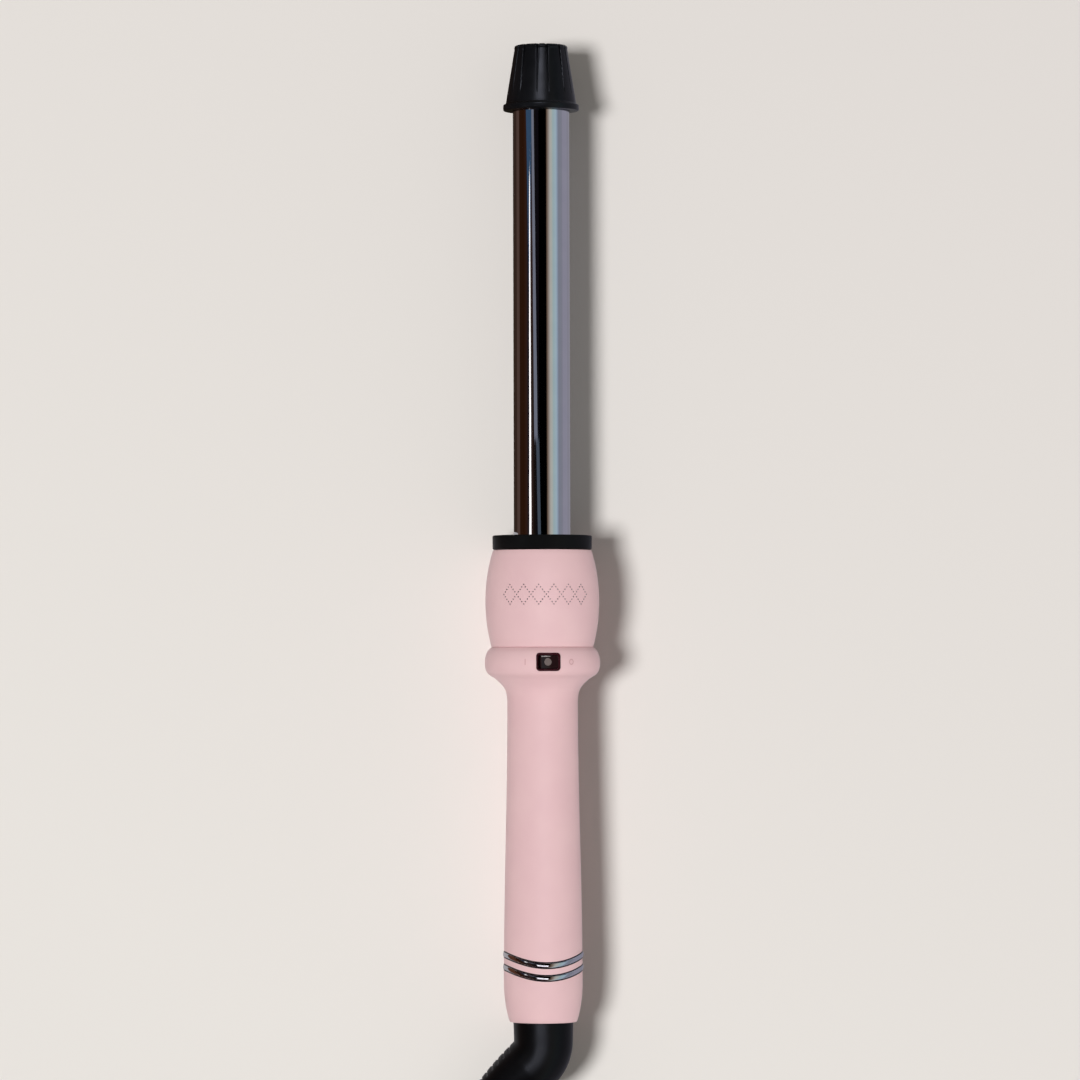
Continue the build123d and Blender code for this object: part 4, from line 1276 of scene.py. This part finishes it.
markSizes = {
    "leftX": -10.4,
    "rightX": 10.6,
    "height": 2.6,
    "stroke": 0.42,
    "proud": 0.05,
}


def collarRadiusAt(along):
    line = handleLine()
    for (r0, y0), (r1, y1) in zip(line, line[1:]):
        if y0 <= along <= y1:
            return r0 + (r1 - r0) * (along - y0) / max(y1 - y0, 1e-6)
    return handleSizes["collarRadius"]


def onCollar(x, y, lift):
    along = switchSizes["along"] + y
    radius = collarRadiusAt(along) + lift
    return around(radius, along, degrees(x / radius))


def makeMarks():
    s = markSizes
    stroke, half = s["stroke"] / 2, s["height"] / 2
    rings = [
        [
            onCollar(s["leftX"] + x, -half + s["height"] * i / 8, lift)
            for x, lift in ((-stroke, -0.2), (-stroke, s["proud"]), (stroke, s["proud"]), (stroke, -0.2))
        ]
        for i in range(9)
    ]
    newPiece("markI", lofted(rings), padPrint, "handle", [], sharp=30)
    rings = []
    for i in range(40):
        a = 2 * pi * i / 40
        ring = []
        for r, lift in (
            (half - s["stroke"], -0.2), (half - s["stroke"], s["proud"]), (half, s["proud"]), (half, -0.2),
        ):
            ring.append(onCollar(s["rightX"] + r * 0.85 * cos(a), r * sin(a), lift))
        rings.append(ring)
    newPiece("markO", lofted(rings, closed=True), padPrint, "handle", [], sharp=30)


makeMarks()
print("marks printed")

screwSizes = {
    "count": 2,
    "headRadius": 2.6,
    "headThick": 2.0,
    "shankRadius": 1.3,
    "shankLength": 18.0,
    "slotWidth": 0.75,
    "slotLength": 3.0,
    "slotDepth": 1.1,
}


def makeScrewTree():
    sizes = {
        "Count": 2, "Pitch": 0.08, "First along": 0.0, "Head height": 0.0, "Head radius": 0.0026,
        "Head thick": 0.002, "Shank radius": 0.0013, "Shank length": 0.018, "Slot width": 0.0008,
        "Slot length": 0.003, "Slot depth": 0.001, "Material": None,
    }
    tree, sockets = newTree("crossHeadScrews", sizes)
    times, plus = arithmetic(tree)[:2]
    head = addNode(
        tree, "GeometryNodeMeshCylinder",
        {"Vertices": 40, "Radius": sockets["Head radius"], "Depth": sockets["Head thick"]},
    ).outputs[0]
    bars = []
    for a, b in (("Slot width", "Slot length"), ("Slot length", "Slot width")):
        size = vector(tree, X=sockets[a], Y=sockets[b], Z=times(sockets["Slot depth"], 2.0))
        bar = addNode(tree, "GeometryNodeMeshCube", {"Size": size}).outputs[0]
        down = vector(tree, Z=times(sockets["Head thick"], -0.5))
        bars.append(addNode(tree, "GeometryNodeTransform", {"Geometry": bar, "Translation": down}).outputs[0])
    cut = addNode(tree, "GeometryNodeMeshBoolean", {"Mesh 1": head}, operation="DIFFERENCE", solver="EXACT")
    for bar in bars:
        tree.links.new(bar, cut.inputs["Mesh 2"])
    shank = addNode(
        tree, "GeometryNodeMeshCylinder",
        {"Vertices": 24, "Radius": sockets["Shank radius"], "Depth": sockets["Shank length"]},
    ).outputs[0]
    lift = times(plus(sockets["Head thick"], sockets["Shank length"]), 0.5)
    raised = addNode(
        tree, "GeometryNodeTransform", {"Geometry": shank, "Translation": vector(tree, Z=lift)},
    ).outputs[0]
    screw = addNode(tree, "GeometryNodeJoinGeometry", {0: cut.outputs[0]})
    tree.links.new(raised, screw.inputs[0])
    first = vector(tree, Y=sockets["First along"], Z=sockets["Head height"])
    step = vector(tree, Y=sockets["Pitch"])
    row = addNode(
        tree, "GeometryNodeMeshLine", {"Count": sockets["Count"], "Start Location": first, "Offset": step},
    ).outputs[0]
    screws = addNode(tree, "GeometryNodeInstanceOnPoints", {"Points": row, "Instance": screw.outputs[0]})
    endTree(tree, screws.outputs[0], sockets["Material"])
    return tree


def makeScrews():
    s = screwSizes
    first, second = handleSizes["screwHoles"]
    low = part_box("handle_screws")[0]
    values = {
        "Count": s["count"], "Pitch": (second - first) * mm, "First along": place(0, first, 0).y,
        "Head height": low[2] + (s["headThick"] / 2 + 0.1) * mm, "Head radius": s["headRadius"] * mm,
        "Head thick": s["headThick"] * mm, "Shank radius": s["shankRadius"] * mm,
        "Shank length": s["shankLength"] * mm, "Slot width": s["slotWidth"] * mm,
        "Slot length": s["slotLength"] * mm, "Slot depth": s["slotDepth"] * mm, "Material": zincSteel,
    }
    piece = newPiece(
        "handleScrews", grown(makeScrewTree(), values), zincSteel, "handle", ["handle_screws"],
        sharp=30,
    )
    trim = piece.modifiers.new("trim", "BEVEL")
    trim.width, trim.segments, trim.limit_method = 0.12 * mm, 2, "ANGLE"


makeScrews()
print("screws driven")

finishes = {
    phenolic: ["barrel_holder", "barrel_end_plug", "swivel_socket", "brush_carrier"],
    zincSteel: ["holder_screws", "heater_spring", "thermal_fuse", "cap_screw", "board_screws", "swivel_clip"],
    extrudedAluminium: ["upper_heat_spreader", "lower_heat_spreader"],
    firedCeramic: ["heater_plate", "thermistor"],
    siliconeSleeve: ["heater_leads", "mains_wires"],
    rolledBrass: ["switch_terminals", "live_slip_ring", "neutral_slip_ring", "live_brush", "neutral_brush"],
    solderResist: ["control_board"],
    epoxyBlack: ["board_triac", "board_chip"],
    filmYellow: ["board_capacitor"],
    fuseGlass: ["board_fuse"],
    nylonWhite: ["swivel_spindle"],
}
for material, names in finishes.items():
    for name in names:
        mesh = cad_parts[name].data
        if not mesh.materials:
            mesh.materials.append(material)
        for index in range(len(mesh.materials)):
            mesh.materials[index] = material
print("inner pieces finished")

studio = {
    "floor": "#E9E6E3",
    "floorPaintedShade": "#E1DDDB",  # painted shade: the paper is drawn a shade darker towards the top right, where the light falls off
    "floorSize": 8.0,
    "sun": 2.7,  # strength
    "sunWide": 14.0,  # degrees across, which gives the shadow its soft edge
    "sunFromLeft": 28.3,  # degrees off straight up
    "sunFromTail": 3.5,
    "front": 2.2,  # strength of the light that models the lacquered shells
    "frontFromLeft": 12.0,
    "side": 0.42,  # strength of the low light on their right
    "fill": "#ECE8E2",
    "fillStrength": 0.285,
    "cardDistance": 1.5,
    "roomTurn": 5.0,  # degrees that the room is turned to the right, with its cards
}
# what the mirror-bright barrel sees of the room: degrees to the right of straight up, and colour
roomColours = [
    (-90, "#2E180C"), (-76, "#352018"), (-67, "#1D1A22"), (-52, "#3A2A26"), (-44, "#1B1410"),
    (-30, "#0E0D12"), (-18, "#160F12"), (-8, "#2B1F1F"), (2, "#2F1F19"), (9, "#4E3C31"), (13, "#766455"),
    (19, "#A0958C"), (25, "#BDBCB3"), (32, "#BBC0B9"), (38, "#A9BFC0"), (51, "#ADC2CE"), (57, "#9AA9BB"),
    (63, "#878C9A"), (78, "#8B8C98"), (90, "#9290A0"),
]


# low glowing cards beside the barrel, which only reflections show: a painted reflection of the floor and room in
# the mirror-bright barrel. Across from and to, along from and to in metres, colour
lowCards = [
    (0.0, -0.024, 0.0, 0.6, "#352E26"), (-0.022, -0.052, 0.0, 0.6, "#392A23"),
    (-0.05, -0.112, 0.0, 0.6, "#54413A"), (-0.11, -4.2, 0.0, 0.6, "#2E190E"),
    (0.0, -0.06, -0.7, 0.001, "#B4B0B2"), (-0.058, -4.2, -0.7, 0.001, "#5C3B2C"),
    (0.0, 0.022, -0.7, 0.6, "#828082"), (0.02, 0.062, -0.7, 0.6, "#918F9B"),
    (0.06, 4.2, -0.7, 0.6, "#9795A4"),
]
# overhead cards that only the named pieces reflect: left, right, start and end in metres, height of the far edge,
# colour, strength, pieces
sheenCards = [
    ("tipSheen", (-0.8, 0.1, 0.85, 1.5), 1.8, "#E8ECFF", 6.5, ["tipCap", "capButton"]),
    ("bootSheen", (-1.15, 0.1, -0.85, -0.36), 2.0, "#E8ECFF", 12.0, ["cordBoot"]),
    ("bandSheen", (-0.9, 0.3, -1.0, -0.16), 2.0, "#F0ECF2", 2.2, ["upperBand", "lowerBand"]),
    ("lacquerSheen", (-0.6, 0.5, -0.6, 1.0), 2.0, "#F4F0F6", 3.0, ["frontShell", "noseHousing"]),
    ("rockerSheen", (0.7, 3.6, 1.2, 5.0), 2.0, "#FFF6F4", 16.0, ["rocker"]),
    ("lensSheen", (-0.4, 0.9, 0.9, 3.0), 2.0, "#FFF6F4", 7.0, ["rockerDot"]),
]


def makeFloor():
    # matt studio paper, with painted shade that darkens it towards the top right, where the light falls off
    material, tree, shader = newMaterial("floorPaperWithPaintedShade", {"Roughness": 0.95, "Specular IOR Level": 0.1})
    spot = addNode(
        tree, "ShaderNodeSeparateXYZ", {0: addNode(tree, "ShaderNodeTexCoord").outputs["Object"]},
    ).outputs
    # painted shade: the paper's colour darkens towards the top right
    far = ranged(tree, figure(tree, "ADD", spot[0], figure(tree, "MULTIPLY", spot[1], 1.6)), -0.45, 0.65)
    tree.links.new(blendColours(tree, far, studio["floor"], studio["floorPaintedShade"]), shader.inputs["Base Color"])
    half = studio["floorSize"] / 2
    level = cadLow[2] - 0.0002
    mesh = bpy.data.meshes.new("floor")
    mesh.from_pydata(
        [(x, y, level) for x, y in ((-half, -half), (half, -half), (half, half), (-half, half))], [],
        [(0, 1, 2, 3)],
    )
    mesh.materials.append(material)
    floor = looseObject("floor", mesh)


def glowing(name, colour, strength):
    material = bpy.data.materials.new(name)
    material.use_nodes = True
    tree = material.node_tree
    tree.nodes.clear()
    glow = addNode(tree, "ShaderNodeEmission", {"Color": linear(colour), "Strength": strength})
    addNode(tree, "ShaderNodeOutputMaterial", {"Surface": glow.outputs[0]})
    return material


# a card that only reflections show, on every piece or on the ones named
def makeCard(name, corners, colour, strength=1.0, only=()):
    mesh = bpy.data.meshes.new(name)
    mesh.from_pydata(corners, [], [(0, 1, 2, 3)])
    mesh.materials.append(glowing(name, colour, strength))
    card = looseObject(name, mesh)
    card.visible_camera = card.visible_diffuse = card.visible_shadow = card.visible_transmission = False
    if only:
        card.light_linking.receiver_collection = bpy.data.collections.new(name + "On")
        for piece in only:
            card.light_linking.receiver_collection.objects.link(bpy.data.objects[piece])


# a spot round the wand's length, in degrees to the right of straight up
def overhead(turn, y, distance=None):
    distance = distance or studio["cardDistance"]
    turn = radians(turn + studio["roomTurn"])
    return (distance * sin(turn), y, axisHeight + distance * cos(turn))


def makeCards():
    def hung(name, low, lowTurns, high, highTurns, colour, strength=1.0, distance=None):
        corners = [
            overhead(lowTurns[0], low, distance), overhead(lowTurns[1], low, distance),
            overhead(highTurns[1], high, distance), overhead(highTurns[0], high, distance),
        ]
        makeCard(name, corners, colour, strength)
    hung("whiteStrip", 0.0, (-64.8, -54.8), 0.285, (-61.0, -58.2), "#FFFAF6", 1.7)
    hung("blueCard", 0.19, (-62, -58), 0.42, (-84, -44), "#37506C", 1.0, 1.55)
    hung("slantedCardLow", -0.05, (-20, -8), 0.1, (-34, -22), "#4A5460")
    hung("slantedCardHigh", 0.1, (-42, -28), 0.4, (-54, -46), "#7A7E8C")
    floor = cadLow[2] + 0.0004
    for index, (near, far, start, end, colour) in enumerate(lowCards):  # each a hair above the last
        level = floor + index * 0.00002
        corners = [(near, start, level), (far, start, level), (far, end, level), (near, end, level)]
        makeCard("lowCard" + str(index), corners, colour)
    for name, (left, right, start, end), farHeight, colour, strength, pieces in sheenCards:
        corners = [(left, start, 2.0), (right, start, 2.0), (right, end, farHeight), (left, end, farHeight)]
        makeCard(name, corners, colour, strength, pieces)


def sunLight(name, strength, wide, way):
    lamp = bpy.data.lights.new(name, "SUN")
    lamp.energy = strength
    lamp.angle = radians(wide)
    lamp.color = linear("#FFFEFC")[:3]
    sun = looseObject(name, lamp)
    sun.rotation_euler = Vector(way).to_track_quat("Z", "Y").to_euler()
    sun.visible_glossy = False
    return sun


# The key casts the one shadow. The lacquered shells are lit from nearer the camera, by lights of their own
def makeSuns():
    lacquered = bpy.data.collections.new("lacquered")
    others = bpy.data.collections.new("others")
    for name in ("frontShell", "backShell", "noseHousing"):
        lacquered.objects.link(bpy.data.objects[name])
        others.objects.link(bpy.data.objects[name])
    for link in others.collection_objects:
        link.light_linking.link_state = "EXCLUDE"
    left, tail = radians(studio["sunFromLeft"]), radians(studio["sunFromTail"])
    key = sunLight("key", studio["sun"], studio["sunWide"], (-sin(left), -sin(tail), cos(left)))
    key.light_linking.receiver_collection = others
    left = radians(studio["frontFromLeft"])
    front = sunLight("front", studio["front"], 25, (-sin(left), -0.16, cos(left)))
    front.light_linking.receiver_collection = lacquered
    side = sunLight("side", studio["side"], 40, (0.84, -0.4, 0.36))
    side.light_linking.receiver_collection = lacquered


def makeRoom():
    world = bpy.data.worlds.new("room")
    bpy.context.scene.world = world
    world.use_nodes = True
    tree = world.node_tree
    tree.nodes.clear()
    way = addNode(
        tree, "ShaderNodeSeparateXYZ", {0: addNode(tree, "ShaderNodeTexCoord").outputs["Generated"]},
    ).outputs
    # about the wand's length, to the right
    turn = figure(tree, "SUBTRACT", figure(tree, "ARCTAN2", way[0], way[2]), radians(studio["roomTurn"]))
    share = ranged(tree, turn, -pi / 2, pi / 2)
    ramp = addNode(tree, "ShaderNodeValToRGB", {0: share})
    places = ramp.color_ramp.elements
    places[0].position, places[0].color = 0.0, linear(roomColours[0][1])
    places[1].position, places[1].color = 1.0, linear(roomColours[-1][1])
    for angle, colour in roomColours[1:-1]:
        places.new((angle + 90) / 180).color = linear(colour)
    mirrored = addNode(tree, "ShaderNodeBackground", {0: ramp.outputs[0], 1: 1.0})
    fill = addNode(tree, "ShaderNodeBackground", {0: linear(studio["fill"]), 1: studio["fillStrength"]})
    backdrop = addNode(tree, "ShaderNodeBackground", {0: linear("#E6E2DD"), 1: 1.0})
    rays = addNode(tree, "ShaderNodeLightPath").outputs
    lit = addNode(
        tree, "ShaderNodeMixShader", {0: rays["Is Glossy Ray"], 1: fill.outputs[0], 2: mirrored.outputs[0]},
    )
    seen = addNode(
        tree, "ShaderNodeMixShader", {0: rays["Is Camera Ray"], 1: lit.outputs[0], 2: backdrop.outputs[0]},
    )
    addNode(tree, "ShaderNodeOutputWorld", {0: seen.outputs[0]})


makeFloor()
makeCards()
makeSuns()
makeRoom()
bpy.context.scene.view_settings.view_transform = "Standard"
print("studio lit")
